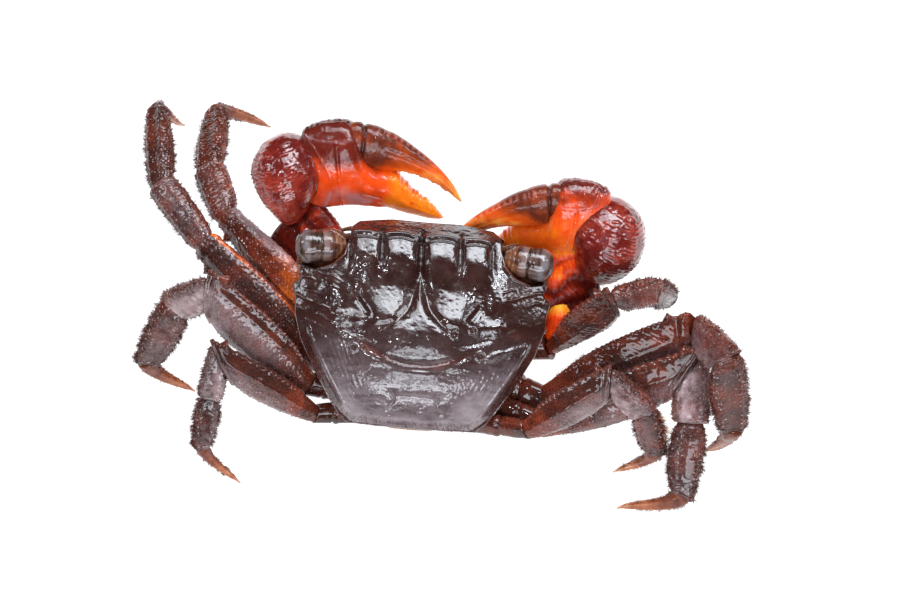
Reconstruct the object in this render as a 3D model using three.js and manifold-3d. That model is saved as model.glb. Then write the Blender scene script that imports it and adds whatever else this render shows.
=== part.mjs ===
// Red-clawed mangrove crab, life-size, standing with its claws raised in front.
// Millimetres, +Z up. The crab faces -Y, its left side is +X, and the floor is z = 0.
import * as THREE from 'three';
import Module from 'manifold-3d';
import { mergeVertices } from 'three/addons/utils/BufferGeometryUtils.js';

const wasm = await Module();
wasm.setup();

const vec = (x, y, z) => new THREE.Vector3(x, y, z);

// ---------------------------------------------------------------- driving dimensions

const gap = 0.3;                  // clearance between neighbouring pieces

const carapaceHalfWidth = 17.0;   // at the tooth behind the eye
const carapaceFront = -15.0;      // front margin, from the middle of the body
const carapaceRear = 13.0;        // rear margin
const crownHeight = 6.4;          // highest point of the back above the body's mid plane
const sternumDepth = 6.6;         // lowest point below the mid plane

const bodyHeight = 12.0;          // mid plane above the floor
const bodyPitch = 16;             // degrees, front raised
const bodyYaw = -4.3;             // degrees, seen from above
const bodyShift = [0.8, 0.25];    // of the body's middle against the legs
const bodyRoll = 4.5;             // degrees, left side raised

const toeRadius = 0.42;           // half the flat under each toe

// right half of the outline of the back, from the middle of the front to the middle of the rear
const backOutline = [
  [0, carapaceFront], [4.6, -15.1], [9.0, -14.4], [10.0, -13.4], [10.2, -11.6], [10.9, -9.4],
  [12.4, -7.6], [14.6, -6.8], [16.8, -7.5], [16.5, -6.2], [17.2, -5.0], [16.9, -3.4], [16.7, -1.0],
  [15.7, 2.0], [14.2, 4.8], [12.6, 7.5], [11.1, 9.8], [9.9, 11.5], [8.6, 12.5], [4.6, 12.9],
  [0, carapaceRear],
];

// outline of the flanks and cheeks under the back, which also carry the lower rims of the eye sockets
const flankOutline = [
  [0, -13.9], [8.6, -13.5], [10.6, -12.9], [13.6, -12.6], [15.8, -10.8], [16.4, -8.2], [16.1, -4.0],
  [15.6, -1.0], [13.2, 4.8], [11.6, 7.6], [9.0, 11.0], [7.6, 12.0], [0, 12.3],
];

// legs, front to rear: where the first segment leaves the body, in body coordinates of the left side
const legRoots = [[9.2, -0.2, -4.2], [9.6, 3.8, -4.3], [9.0, 7.4, -4.1], [6.8, 10.5, -3.8]];
const clawRoot = [7.2, -4.8, -5.3];

// the pose: for each leg the hip, knee, ankle, foot and toe points, and the way its broad side faces
const legPoses = {
  left_1: { hip: [14.4, -3.4, 9.6], knee: [27.1, -17.9, 12.0], ankle: [29.8, -25.8, 10.6],
    foot: [29.4, -36.9, 6.5], toe: [22.2, -38.3], face: [0.3, 0.5, 0.8], width: 5.6 },
  left_2: { hip: [14.3, 2.5, 8.8], knee: [29.9, -13.4, 12.5], ankle: [36.1, -22.6, 11.8],
    foot: [37.5, -35.9, 9.2], toe: [34.4, -38.6], face: [0.3, 0.5, 0.8], width: 5.8 },
  left_3: { hip: [15.6, 5.9, 8.6], knee: [28.6, -1.9, 20.6], ankle: [33.1, -2.6, 15.0],
    foot: [37.4, 1.7, 6.5], toe: [31.5, 3.1], face: [0.08, 0.87, 0.48], width: 7.0 },
  left_4: { hip: [14.7, 9.8, 7.6], knee: [27.1, 6.0, 16.5], ankle: [28.4, 9.4, 12.0],
    foot: [29.7, 14.0, 6.0], toe: [24.9, 16.7], face: [-0.1, 0.79, 0.58], width: 4.6 },
  right_1: { hip: [-17.0, 0.3, 8.3], knee: [-25.3, -1.3, 19.5], ankle: [-30.7, -4.1, 16.5],
    foot: [-33.2, -7.1, 8.0], toe: [-31.9, -10.5], face: [-0.45, 0.87, 0.1], width: 5.4 },
  right_2: { hip: [-16.2, 7.4, 7.0], knee: [-36.3, 0.8, 14.0], ankle: [-39.7, 7.3, 18.7],
    foot: [-41.1, 12.4, 8.3], toe: [-37.9, 12.0], face: [-0.13, 0.88, 0.45], width: 7.0 },
  right_3: { hip: [-16.2, 10.7, 6.0], knee: [-35.6, 6.1, 12.9], ankle: [-35.4, 12.4, 10.0],
    foot: [-34.2, 20.6, 4.9], toe: [-26.0, 20.4], face: [-0.05, 0.75, 0.66], width: 6.8 },
  right_4: { hip: [-13.8, 12.3, 8.0], knee: [-24.9, 8.5, 16.6], ankle: [-29.2, 11.9, 12.9],
    foot: [-30.9, 14.8, 6.3], toe: [-25.6, 15.1], face: [0.14, 0.92, 0.37], width: 5.6 },
};

// the claws: elbow, middle of the wrist, start of the palm, and the finger's opening angle
const clawPoses = {
  left: { elbow: [17.0, -16.6, 11.8], wrist: [18.6, -20.2, 17.0], palm: [14.4, -22.7, 17.0],
    palmTurn: 3, palmLean: 36, fingerLift: 0 },
  right: { elbow: [-21.1, -9.5, 11.0], wrist: [-24.9, -12.0, 16.0], palm: [-22.9, -15.3, 15.4],
    palmTurn: 3, palmLean: 17, fingerLift: 10 },
};

// ---------------------------------------------------------------- mesh helpers

// Closed body through rings of equal point count, with a fan over each end.
function loft(rings) {
  const sides = rings[0].length;
  const points = rings.flat();
  const index = [];
  for (let r = 0; r < rings.length - 1; r++) {
    for (let i = 0; i < sides; i++) {
      const a = r * sides + i;
      const b = r * sides + (i + 1) % sides;
      index.push(a, b, b + sides, a, b + sides, a + sides);
    }
  }
  const cap = (ring, start, flip) => {
    const middle = ring.reduce((sum, p) => sum.add(p), vec(0, 0, 0)).divideScalar(sides);
    const centre = points.push(middle) - 1;
    for (let i = 0; i < sides; i++) {
      const a = start + i;
      const b = start + (i + 1) % sides;
      index.push(centre, flip ? b : a, flip ? a : b);
    }
  };
  cap(rings[0], 0, true);
  cap(rings[rings.length - 1], (rings.length - 1) * sides, false);
  const geometry = new THREE.BufferGeometry().setFromPoints(points);
  geometry.setIndex(index);
  return facedOut(geometry);
}

// Turns every triangle round when the enclosed volume comes out negative.
function facedOut(geometry) {
  const position = geometry.attributes.position;
  const index = geometry.index;
  const [a, b, c] = [vec(0, 0, 0), vec(0, 0, 0), vec(0, 0, 0)];
  let volume = 0;
  for (let i = 0; i < index.count; i += 3) {
    a.fromBufferAttribute(position, index.getX(i));
    b.fromBufferAttribute(position, index.getX(i + 1));
    c.fromBufferAttribute(position, index.getX(i + 2));
    volume += a.dot(b.cross(c));
  }
  if (volume < 0) {
    for (let i = 0; i < index.count; i += 3) {
      const keep = index.getX(i + 1);
      index.setX(i + 1, index.getX(i + 2));
      index.setX(i + 2, keep);
    }
  }
  return geometry;
}

// Superellipse ring about a centre, from a wide and a thick direction.
function ring(centre, wide, thick, halfWide, halfThick, sides, power = 0.85) {
  const points = [];
  for (let i = 0; i < sides; i++) {
    const angle = 2 * Math.PI * (i + 0.5) / sides;
    const c = Math.cos(angle);
    const s = Math.sin(angle);
    const u = Math.sign(c) * Math.abs(c) ** power * halfWide;
    const v = Math.sign(s) * Math.abs(s) ** power * halfThick;
    points.push(centre.clone().addScaledVector(wide, u).addScaledVector(thick, v));
  }
  return points;
}

const smooth = (t) => {
  const s = Math.min(1, Math.max(0, t));
  return s * s * (3 - 2 * s);
};

function toSolid(geometry) {
  const bare = geometry.clone();
  bare.deleteAttribute('normal');
  bare.deleteAttribute('uv');
  const merged = mergeVertices(bare, 1e-4);
  return new wasm.Manifold(new wasm.Mesh({
    numProp: 3,
    vertProperties: new Float32Array(merged.attributes.position.array),
    triVerts: new Uint32Array(merged.index.array),
  }));
}

function toGeometry(solid) {
  const mesh = solid.getMesh();
  const geometry = new THREE.BufferGeometry();
  geometry.setAttribute('position', new THREE.BufferAttribute(new Float32Array(mesh.vertProperties), 3));
  geometry.setIndex(new THREE.BufferAttribute(new Uint32Array(mesh.triVerts), 1));
  return geometry;
}

// ---------------------------------------------------------------- materials and nodes

const finish = {
  shell: { color: 0x241614, roughness: 0.25 },
  flank: { color: 0x3a1f17, roughness: 0.45 },
  sternum: { color: 0x7a5644, roughness: 0.5 },
  leg: { color: 0x4a221a, roughness: 0.5 },
  toe: { color: 0xa4512a, roughness: 0.4 },
  claw: { color: 0xb5301a, roughness: 0.3 },
  wrist: { color: 0x701a18, roughness: 0.35 },
  finger: { color: 0xe06a1c, roughness: 0.3 },
  stalk: { color: 0x6b3c24, roughness: 0.3 },
  cornea: { color: 0x59605f, roughness: 0.08 },
};

const crab = new THREE.Group();
const body = new THREE.Group();
body.position.set(...bodyShift, bodyHeight);
body.quaternion.setFromEuler(new THREE.Euler(0, 0, THREE.MathUtils.degToRad(bodyYaw)));
body.rotateX(THREE.MathUtils.degToRad(-bodyPitch));
body.rotateY(THREE.MathUtils.degToRad(-bodyRoll));
crab.add(body);
body.updateWorldMatrix(true, false);

function addPart(parent, name, geometry, kind) {
  const material = new THREE.MeshStandardMaterial({ ...finish[kind], metalness: 0 });
  const mesh = new THREE.Mesh(geometry, material);
  mesh.name = name;
  parent.add(mesh);
  return mesh;
}

// ---------------------------------------------------------------- body

// Height of the back at a point: a flat dome that falls to the sides, the rear and the bent-down front.
function backHeight(x, y) {
  const halfWidth = carapaceHalfWidth - 0.58 * Math.max(0, y + 1.5);
  const across = Math.min(1.1, Math.abs(x) / halfWidth);
  const side = 3.1 * across ** 3;
  const rear = 5.0 * (Math.max(0, y) / carapaceRear) ** 2.4;
  const fore = 1.6 * (Math.max(0, -y) / 13) ** 2.5;
  const frontEdge = 2.2 * (Math.max(0, carapaceFront + 2.6 - y) / 2.6) ** 1.5;
  return crownHeight - side - rear - fore - frontEdge;
}

// Whole outline from its half, with each stretch divided so that no step is longer than the given one.
function closedOutline(half, step) {
  const outline = [];
  for (let i = 0; i < half.length - 1; i++) {
    const [x0, y0] = half[i];
    const [x1, y1] = half[i + 1];
    const count = Math.max(1, Math.round(Math.hypot(x1 - x0, y1 - y0) / step));
    for (let k = 0; k < count; k++) {
      const t = k / count;
      outline.push([x0 + (x1 - x0) * t, y0 + (y1 - y0) * t]);
    }
  }
  outline.push(half[half.length - 1]);
  const mirrored = outline.slice(1, -1).reverse().map(([x, y]) => [-x, y]);
  return [...outline, ...mirrored];
}

// Body between an outline's scaled rings: each level gives a scale and a height function.
function stack(outline, levels) {
  return loft(levels.map(([scale, height]) =>
    outline.map(([x, y]) => vec(x * scale, y * scale, height(x * scale, y * scale)))));
}

const backRings = [0.12, 0.34, 0.54, 0.71, 0.84, 0.93, 1];
const carapace = stack(closedOutline(backOutline, 2.4), [
  ...backRings.map((scale) => [scale, backHeight]),
  [0.975, (x, y) => Math.max(0.5, backHeight(x, y) - 1.6)],
  [0.95, () => 0],
  [0.5, () => 0],
]);
addPart(body, 'carapace', carapace, 'shell');

// Flanks: a flat block under the back, deeper under the face, with a rounded ridge under each eye.
const cheekDepth = (x, y) => -0.9 - 2.1 * smooth((-6.5 - y) / 2.5) * smooth((8 - Math.abs(x)) / 2);
const flankBlock = stack(closedOutline(flankOutline, 3.6), [
  [0.4, () => -gap],
  [1, () => -gap],
  [0.97, (x, y) => cheekDepth(x, y) * 0.6 - 0.1],
  [0.88, cheekDepth],
  [0.4, cheekDepth],
]);
function socketRim(side) {
  const path = [[10.9, -12.4, -0.2], [12.6, -12.5, 0.1], [14.4, -11.9, 0.3], [15.7, -10.3, 0.3], [16.3, -8.6, 0.2]];
  const radii = [0.7, 1.0, 1.1, 1.0, 0.8];
  return loft(path.map(([x, y, z], i) =>
    ring(vec(x * side, y, z - 0.1), vec(0.7 * side, -0.7, 0), vec(0, 0, 1), radii[i], radii[i], 8)));
}
const flanks = toSolid(flankBlock).add(toSolid(socketRim(1))).add(toSolid(socketRim(-1)));
addPart(body, 'flanks', toGeometry(flanks), 'flank');

// Sternum: the plate between the legs, rounded below.
const sternumRows = [[-5.4, 5.4, 5.8], [-4.4, 6.3, 6.4], [-1.5, 7.8, sternumDepth],
  [1.5, 8.6, sternumDepth], [5.0, 8.6, sternumDepth], [8.6, 7.4, 6.2], [10.3, 5.4, 5.0], [11.1, 3.8, 3.8]];
const sternum = loft(sternumRows.map(([y, halfWidth, depth]) => {
  const top = cheekDepth(0, y) - gap;
  const half = (depth + top) / 2;
  return ring(vec(0, y, top - half), vec(1, 0, 0), vec(0, 0, 1), halfWidth, half, 12, 0.7);
}));
addPart(body, 'sternum', sternum, 'sternum');

// Tail flap: it comes down behind the rear margin and lies forward under the sternum. The rows are the
// middle of each ring, its half width and its half thickness, and every ring stands square to the path.
const flapRows = [[11.6, -1.6, 3.5, 0.3], [11.95, -2.7, 3.6, 0.45], [11.8, -4.0, 3.5, 0.45],
  [11.2, -5.2, 3.3, 0.45], [10.1, -6.2, 3.1, 0.45], [8.2, -7.0, 2.9, 0.45], [5.6, -7.4, 2.4, 0.42],
  [1.6, -7.4, 1.7, 0.4], [-0.6, -7.3, 0.9, 0.3]];
const flap = loft(flapRows.map(([y, z, halfWidth, halfThick], i) => {
  const [y0, z0] = flapRows[Math.max(0, i - 1)];
  const [y1, z1] = flapRows[Math.min(flapRows.length - 1, i + 1)];
  const square = vec(0, z1 - z0, y0 - y1).normalize();
  return ring(vec(0, y, z), vec(1, 0, 0), square, halfWidth, halfThick, 8, 0.8);
}));
addPart(body, 'abdomen', flap, 'sternum');

// Mouth: the two outer plates that close it, side by side under the front.
for (const [label, side] of [['left', 1], ['right', -1]]) {
  const plate = loft([[-13.0, 2.4, -3.5], [-12.6, 2.7, -4.6], [-10.8, 2.9, -6.2], [-8.6, 2.7, -6.7],
    [-6.4, 2.2, -6.4]].map(([y, halfWidth, low]) => {
    const high = cheekDepth(0, y) - gap;
    const half = (high - low) / 2;
    return ring(vec(side * (0.15 + halfWidth), y, low + half), vec(1, 0, 0), vec(0, 0, 1), halfWidth, half, 10, 0.6);
  }));
  addPart(body, `mouth_plate_${label}`, plate, 'flank');
}

// Eyes: a stout stalk lying in its socket, with the cornea over its outer end.
const eyeRadius = 2.25;
for (const [label, side] of [['left', 1], ['right', -1]]) {
  const root = vec(side * 10.7, -10.6, 3.6);
  const tip = vec(side * 17.3, -9.9, 4.0);
  const along = tip.clone().sub(root);
  const length = along.length();
  along.normalize();
  const upward = vec(0, 0, 1).addScaledVector(along, -along.z).normalize();
  const across = along.clone().cross(upward);
  const place = (profile, sides) => loft(profile.map(([s, radius]) =>
    ring(root.clone().addScaledVector(along, s * length), across, upward, radius * eyeRadius, radius * eyeRadius, sides, 1)));
  addPart(body, `eyestalk_${label}`, place([[0, 0.45], [0.06, 0.68], [0.25, 0.82], [0.42, 0.84], [0.5, 0.8]], 10), 'stalk');
  addPart(body, `eye_${label}`, place([[0.55, 0.8], [0.62, 0.97], [0.74, 1], [0.86, 0.86], [0.95, 0.55], [0.99, 0.2]], 12), 'cornea');
}

// Feelers: short, beside the front, bent outwards.
for (const [label, side] of [['left', 1], ['right', -1]]) {
  const feeler = loft([[9.2, -14.3, -0.6, 0.5], [9.8, -15.1, -0.6, 0.42], [10.7, -15.7, -0.8, 0.34],
    [11.7, -16.0, -1.2, 0.28], [12.7, -16.1, -1.8, 0.25]].map(([x, y, z, radius]) =>
    ring(vec(side * x, y, z), vec(0.7 * side, 0.7, 0), vec(0, 0, 1), radius, radius, 6, 1)));
  addPart(body, `feeler_${label}`, feeler, 'flank');
}

// ---------------------------------------------------------------- limbs

// Piece of a limb between two joints. Its rings shear near each end into the plane of the joint, so that
// neighbours meet along one plane with the clearance between them. The profile rows are the share of the
// length, of the half width and of the half thickness, and how far the row rides towards the upper edge.
function segment({ from, to, face, width, thickness, profile, sides, before, after }) {
  const along = to.clone().sub(from);
  const length = along.length();
  along.normalize();
  const thick = face.clone().addScaledVector(along, -face.dot(along)).normalize();
  const wide = along.clone().cross(thick).normalize();
  const startPlane = before ? before.clone().add(along).normalize() : along;
  const endPlane = after ? after.clone().add(along).normalize() : along;
  const start = gap / 2 / startPlane.dot(along);
  const end = length - gap / 2 / endPlane.dot(along);
  const reach = 0.45 * length;
  return loft(profile.map(([share, w, t, lift = 0]) => {
    const s = start + (end - start) * share;
    const centre = from.clone().addScaledVector(along, s);
    const points = ring(centre, wide, thick, w * width / 2, t * thickness / 2, sides);
    for (const point of points) {
      point.addScaledVector(wide, lift * width / 2);
      const offset = point.clone().sub(centre);
      const atStart = 1 - smooth((s - start) / reach);
      const atEnd = 1 - smooth((end - s) / reach);
      point.addScaledVector(along, -atStart * offset.dot(startPlane) / along.dot(startPlane));
      point.addScaledVector(along, -atEnd * offset.dot(endPlane) / along.dot(endPlane));
    }
    return points;
  }));
}

const thighProfile = [[0, 0.5, 0.6], [0.1, 0.66, 0.8], [0.3, 0.9, 1], [0.55, 1, 1], [0.8, 0.94, 0.92],
  [0.94, 0.82, 0.8], [1, 0.56, 0.6]];
const ankleProfile = [[0, 0.6, 0.6], [0.16, 0.85, 0.85], [0.5, 0.97, 1], [0.84, 1, 0.95], [1, 0.72, 0.72]];
const footProfile = [[0, 0.68, 0.68], [0.14, 0.94, 0.92], [0.45, 1, 1], [0.82, 0.86, 0.84], [1, 0.6, 0.6]];

// Toe: a curved spike that comes down steeply and ends in a small flat on the floor.
function toeSpike({ from, to, before, face, radius }) {
  const along = to.clone().sub(from).normalize();
  const length = to.distanceTo(from);
  const startPlane = before.clone().add(along).normalize();
  const landing = vec(along.x, along.y, 0).setLength(0.62).add(vec(0, 0, -0.78));
  const curve = new THREE.CubicBezierCurve3(
    from,
    from.clone().addScaledVector(before, 0.16 * length).addScaledVector(along, 0.2 * length),
    to.clone().addScaledVector(landing, -0.3 * length),
    to,
  );
  const profile = [[0.04, 0.8], [0.14, 1], [0.32, 0.96], [0.52, 0.8], [0.7, 0.62], [0.86, 0.46], [1, 0]];
  return loft(profile.map(([t, share]) => {
    const tangent = curve.getTangent(t);
    const thick = face.clone().addScaledVector(tangent, -face.dot(tangent)).normalize();
    const wide = tangent.clone().cross(thick).normalize();
    const half = Math.max(toeRadius * 0.8, radius * share);
    const points = ring(curve.getPoint(t), wide, thick, half, half * 0.85, 8, 1);
    for (const point of points) {
      if (t === 1) point.addScaledVector(tangent, -point.z / tangent.z).setZ(0);
      if (t < 0.1) {
        const past = point.clone().sub(from).dot(startPlane) - gap / 2;
        point.addScaledVector(along, -past / along.dot(startPlane));
      }
    }
    return points;
  }));
}

// Walking legs: hip piece, thigh, ankle piece, foot and toe.
const hipRadius = [1.85, 1.75, 1.7, 1.4];
for (const [leg, pose] of Object.entries(legPoses)) {
  const [label, number] = leg.split('_');
  const row = Number(number) - 1;
  const side = label === 'left' ? 1 : -1;
  const [x, y, z] = legRoots[row];
  const root = body.localToWorld(vec(side * x, y, z));
  const [hip, knee, ankle, foot] = [pose.hip, pose.knee, pose.ankle, pose.foot].map((p) => vec(...p));
  const toe = vec(...pose.toe, 0);
  const face = vec(...pose.face).normalize();
  const ways = [[root, hip], [hip, knee], [knee, ankle], [ankle, foot], [foot, toe]]
    .map(([p, q]) => q.clone().sub(p).normalize());
  const { width } = pose;
  const name = `leg_${leg}`;
  const pieces = {
    hip: segment({ from: root, to: hip, face, width: 2 * hipRadius[row], thickness: 1.8 * hipRadius[row],
      profile: [[0, 0.9, 0.9], [0.4, 1, 1], [1, 0.86, 0.8]], sides: 8, after: ways[1] }),
    thigh: segment({ from: hip, to: knee, face, width, thickness: 2.8, profile: thighProfile, sides: 10,
      before: ways[0], after: ways[2] }),
    ankle: segment({ from: knee, to: ankle, face, width: 0.72 * width, thickness: 2.9, profile: ankleProfile,
      sides: 8, before: ways[1], after: ways[3] }),
    foot: segment({ from: ankle, to: foot, face, width: 0.72 * width, thickness: 2.7, profile: footProfile,
      sides: 8, before: ways[2], after: ways[4] }),
    toe: toeSpike({ from: foot, to: toe, before: ways[3], face, radius: 0.23 * width }),
  };
  for (const [piece, geometry] of Object.entries(pieces)) {
    addPart(crab, `${name}_${piece}`, geometry, piece === 'toe' ? 'toe' : 'leg');
  }
}

// ---------------------------------------------------------------- claws

const wristRadii = [4.9, 5.3, 4.7];
const armProfile = [[0, 0.42, 0.7], [0.14, 0.46, 0.76], [0.3, 0.62, 0.85], [0.5, 0.84, 1], [0.75, 1, 1],
  [0.92, 0.96, 0.9], [1, 0.7, 0.6]];

// palm with its fixed finger, rows of: along, rise, half height, half thickness
const palmRows = [[-1.6, 0.4, 4.2, 2.6], [-0.4, 0.4, 5.3, 3.3], [2.2, 0.5, 6.0, 3.9], [4.8, 0.3, 5.9, 3.8],
  [6.8, -0.2, 5.2, 3.3], [7.6, -2.3, 3.4, 2.6], [9.9, -3.7, 2.6, 2.1], [12.4, -4.9, 1.9, 1.6],
  [14.8, -6.1, 1.15, 1.0], [17.0, -6.9, 0.4, 0.4]];

// movable finger, in rows of the same kind from its hinge
const fingerHinge = [7.2, 3.0];
const fingerRows = [[0.6, 0.1, 2.1, 1.9], [2.0, -0.1, 2.35, 2.0], [4.4, -1.0, 2.1, 1.7],
  [6.9, -2.3, 1.7, 1.4], [9.2, -4.1, 1.3, 1.1], [10.9, -6.0, 0.85, 0.8], [11.9, -7.9, 0.4, 0.4]];

function ellipsoid(centre, radii, grow) {
  const geometry = new THREE.SphereGeometry(1, 14, 10);
  geometry.scale(radii[0] + grow, radii[1] + grow, radii[2] + grow);
  geometry.translate(centre.x, centre.y, centre.z);
  return geometry;
}

for (const [label, pose] of Object.entries(clawPoses)) {
  const side = label === 'left' ? 1 : -1;
  const [x, y, z] = clawRoot;
  const root = body.localToWorld(vec(side * x, y, z));
  const [elbow, wrist, palmStart] = [pose.elbow, pose.wrist, pose.palm].map((p) => vec(...p));
  const wristSocket = toSolid(ellipsoid(wrist, wristRadii, gap));

  // the palm's own directions: along to the fingers, up to the movable finger, and out of its inner face
  const turn = THREE.MathUtils.degToRad(pose.palmTurn);
  const lean = THREE.MathUtils.degToRad(pose.palmLean);
  const along = vec(-side * Math.cos(turn), 0.6 * Math.sin(turn), -0.8 * Math.sin(turn)).normalize();
  const squareTo = (way) => way.addScaledVector(along, -way.dot(along)).normalize();
  const up = squareTo(vec(0, -Math.sin(lean), Math.cos(lean)));
  const inward = squareTo(vec(0, Math.cos(lean), Math.sin(lean)));
  const at = (s, rise) => palmStart.clone().addScaledVector(along, s).addScaledVector(up, rise);
  const palmBody = (grow) => toSolid(loft(palmRows.map(([s, rise, halfHeight, halfThick]) =>
    ring(at(s, rise), up, inward, halfHeight + grow, halfThick + grow, 12, 0.95))));
  addPart(crab, `claw_${label}_palm`, toGeometry(palmBody(0).subtract(wristSocket)), 'claw');
  addPart(crab, `claw_${label}_wrist`, ellipsoid(wrist, wristRadii, 0), 'wrist');

  // arm: slender at the body, a broad three-cornered plate at the elbow
  const armAlong = elbow.clone().sub(root).normalize();
  const arm = segment({ from: root, to: elbow.clone().addScaledVector(armAlong, 1.5),
    face: vec(side * 0.2, 0.45, 0.85), width: 8.4, thickness: 4.2, sides: 12, profile: armProfile });
  const armBody = toSolid(arm).subtract(wristSocket).subtract(palmBody(gap));
  addPart(crab, `claw_${label}_arm`, toGeometry(armBody), 'claw');

  // movable finger, turned about its hinge at the upper end of the palm
  const hinge = at(...fingerHinge);
  const lift = THREE.MathUtils.degToRad(pose.fingerLift);
  const finger = loft(fingerRows.map(([s, rise, halfHeight, halfThick], i) => {
    const before = fingerRows[Math.max(0, i - 1)];
    const after = fingerRows[Math.min(fingerRows.length - 1, i + 1)];
    const slope = i === 0 ? 0 : Math.atan2(after[1] - before[1], after[0] - before[0]);
    const across = up.clone().multiplyScalar(Math.cos(slope + lift)).addScaledVector(along, -Math.sin(slope + lift));
    const centre = hinge.clone()
      .addScaledVector(along, s * Math.cos(lift) - rise * Math.sin(lift))
      .addScaledVector(up, s * Math.sin(lift) + rise * Math.cos(lift));
    return ring(centre, across, inward, halfHeight, halfThick, 10, 0.95);
  }));
  addPart(crab, `claw_${label}_finger`, finger, 'finger');
}

// ---------------------------------------------------------------- origin: middle of the footprint, on the floor

crab.updateMatrixWorld(true);
const bounds = new THREE.Box3().setFromObject(crab);
const centre = bounds.getCenter(vec(0, 0, 0));
crab.position.set(-centre.x, -centre.y, 0);

export default crab;
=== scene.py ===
import bpy
import numpy as np
from mathutils import Matrix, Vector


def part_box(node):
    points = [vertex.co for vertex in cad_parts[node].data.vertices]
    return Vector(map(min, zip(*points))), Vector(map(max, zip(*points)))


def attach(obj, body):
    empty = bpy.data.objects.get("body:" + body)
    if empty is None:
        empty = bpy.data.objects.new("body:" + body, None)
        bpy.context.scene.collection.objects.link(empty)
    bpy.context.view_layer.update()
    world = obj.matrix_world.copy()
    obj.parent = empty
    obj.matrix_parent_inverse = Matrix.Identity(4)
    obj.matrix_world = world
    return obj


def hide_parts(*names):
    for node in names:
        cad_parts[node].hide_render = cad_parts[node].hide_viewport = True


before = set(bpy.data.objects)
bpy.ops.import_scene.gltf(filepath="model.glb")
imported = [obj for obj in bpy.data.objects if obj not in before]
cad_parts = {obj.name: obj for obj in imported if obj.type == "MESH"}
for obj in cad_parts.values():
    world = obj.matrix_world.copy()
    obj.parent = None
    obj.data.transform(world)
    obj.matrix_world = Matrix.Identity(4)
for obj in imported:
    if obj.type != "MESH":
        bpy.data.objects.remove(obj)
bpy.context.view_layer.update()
metre = 0.001  # one millimetre in metres


def unit(vectors):  # each vector divided by its length
    return vectors / np.maximum(np.linalg.norm(vectors, axis=-1, keepdims=True), 1e-9)


def ease(t):  # 3t^2 - 2t^3 between 0 and 1, level outside
    t = np.clip(t, 0, 1)
    return t * t * (3 - 2 * t)


def hill(x, middle, width):  # e to the minus ((x - middle) / width) squared
    return np.exp(-((x - middle) / width) ** 2)


def between(x, low, high, soft):  # 1 inside the two limits, easing to 0 over a soft edge
    return ease((x - low) / soft + 0.5) * ease((high - x) / soft + 0.5)


def strip(x, y, start, end, width):  # hill of the distance from a straight stretch
    (x0, y0), (x1, y1) = start, end
    length = (x1 - x0) ** 2 + (y1 - y0) ** 2
    t = np.clip(((x - x0) * (x1 - x0) + (y - y0) * (y1 - y0)) / length, 0, 1)
    return np.exp(-((x - x0 - t * (x1 - x0)) ** 2 + (y - y0 - t * (y1 - y0)) ** 2) / width ** 2)


def curve(keys, t):
    # Smooth line through keys of (place, values...): a cubic between neighbours that takes its slope at each
    # key from the keys on either side.
    keys = np.asarray(keys, float)
    place, values = keys[:, 0], keys[:, 1:]
    slope = np.gradient(values, place, axis=0)
    i = np.clip(np.searchsorted(place, t, side="right") - 1, 0, len(place) - 2)
    step = (place[i + 1] - place[i])[..., None]
    u = np.clip((t - place[i])[..., None] / step, 0, 1)
    return ((1 + 2 * u) * (1 - u) ** 2 * values[i] + u * (1 - u) ** 2 * step * slope[i]
            + u * u * (3 - 2 * u) * values[i + 1] + u * u * (u - 1) * step * slope[i + 1])


# Large odd numbers that scramble a place and a seed, and the places that the result is shifted by in between.
scramble = {"place": (73856093, 19349663, 83492791), "seed": 7919,
            "stir": ((15, 2246822519), (13, 3266489917)), "last": 16, "range": 2 ** 32}


def corner(cell, seed):
    # A fixed random number from 0 to 1 for every whole-number place: products joined by exclusive or, then
    # twice shifted, joined and multiplied, always within 32 bits.
    mixed = seed * scramble["seed"]
    for axis, factor in enumerate(scramble["place"]):
        mixed = mixed ^ (cell[..., axis] * factor)
    mask = np.uint64(scramble["range"] - 1)
    mixed = mixed.astype(np.uint64) & mask
    for places, factor in scramble["stir"]:
        mixed = ((mixed ^ (mixed >> np.uint64(places))) * np.uint64(factor)) & mask
    return (mixed ^ (mixed >> np.uint64(scramble["last"]))).astype(float) / scramble["range"]


def lumps(points, size, seed):
    # Soft random field from -1 to 1: numbers at the corners of cubes of the size, blended with eased weights.
    place = points / size
    cell = np.floor(place).astype(np.int64)
    part = ease(place - cell)
    total = 0
    for step in np.ndindex(2, 2, 2):
        weight = np.prod(np.where(np.array(step) == 1, part, 1 - part), axis=-1)
        total = total + weight * corner(cell + np.array(step), seed)
    return 2 * total - 1


def rough(points, size, seed, layers=3):  # lumps, with finer and weaker lumps on them
    return sum(lumps(points, size / 2 ** i, seed + i) / 2 ** i for i in range(layers))


def grains(points, size, seed):
    # Rounded grains, 1 at the middle of a grain and 0 past its edge: one random middle in each cube, and the
    # distance to the nearest.
    place = points / size
    cell = np.floor(place).astype(np.int64)
    nearest = np.full(points.shape[:-1], 9.0)
    for step in np.ndindex(3, 3, 3):
        there = cell + np.array(step) - 1
        middle = np.stack([corner(there, seed + k) for k in range(3)], axis=-1)
        nearest = np.minimum(nearest, ((there + 0.15 + 0.7 * middle - place) ** 2).sum(-1))
    return np.clip(1 - np.sqrt(nearest) / 0.75, 0, 1)


def waves(q, spacing, sharp):  # rounded ridges across q, narrower the sharper
    return (0.5 + 0.5 * np.cos(2 * np.pi * q / spacing)) ** sharp


def ringAngles(columns):  # evenly spaced angles round a ring
    return 2 * np.pi * (np.arange(columns) + 0.5) / columns


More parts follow.
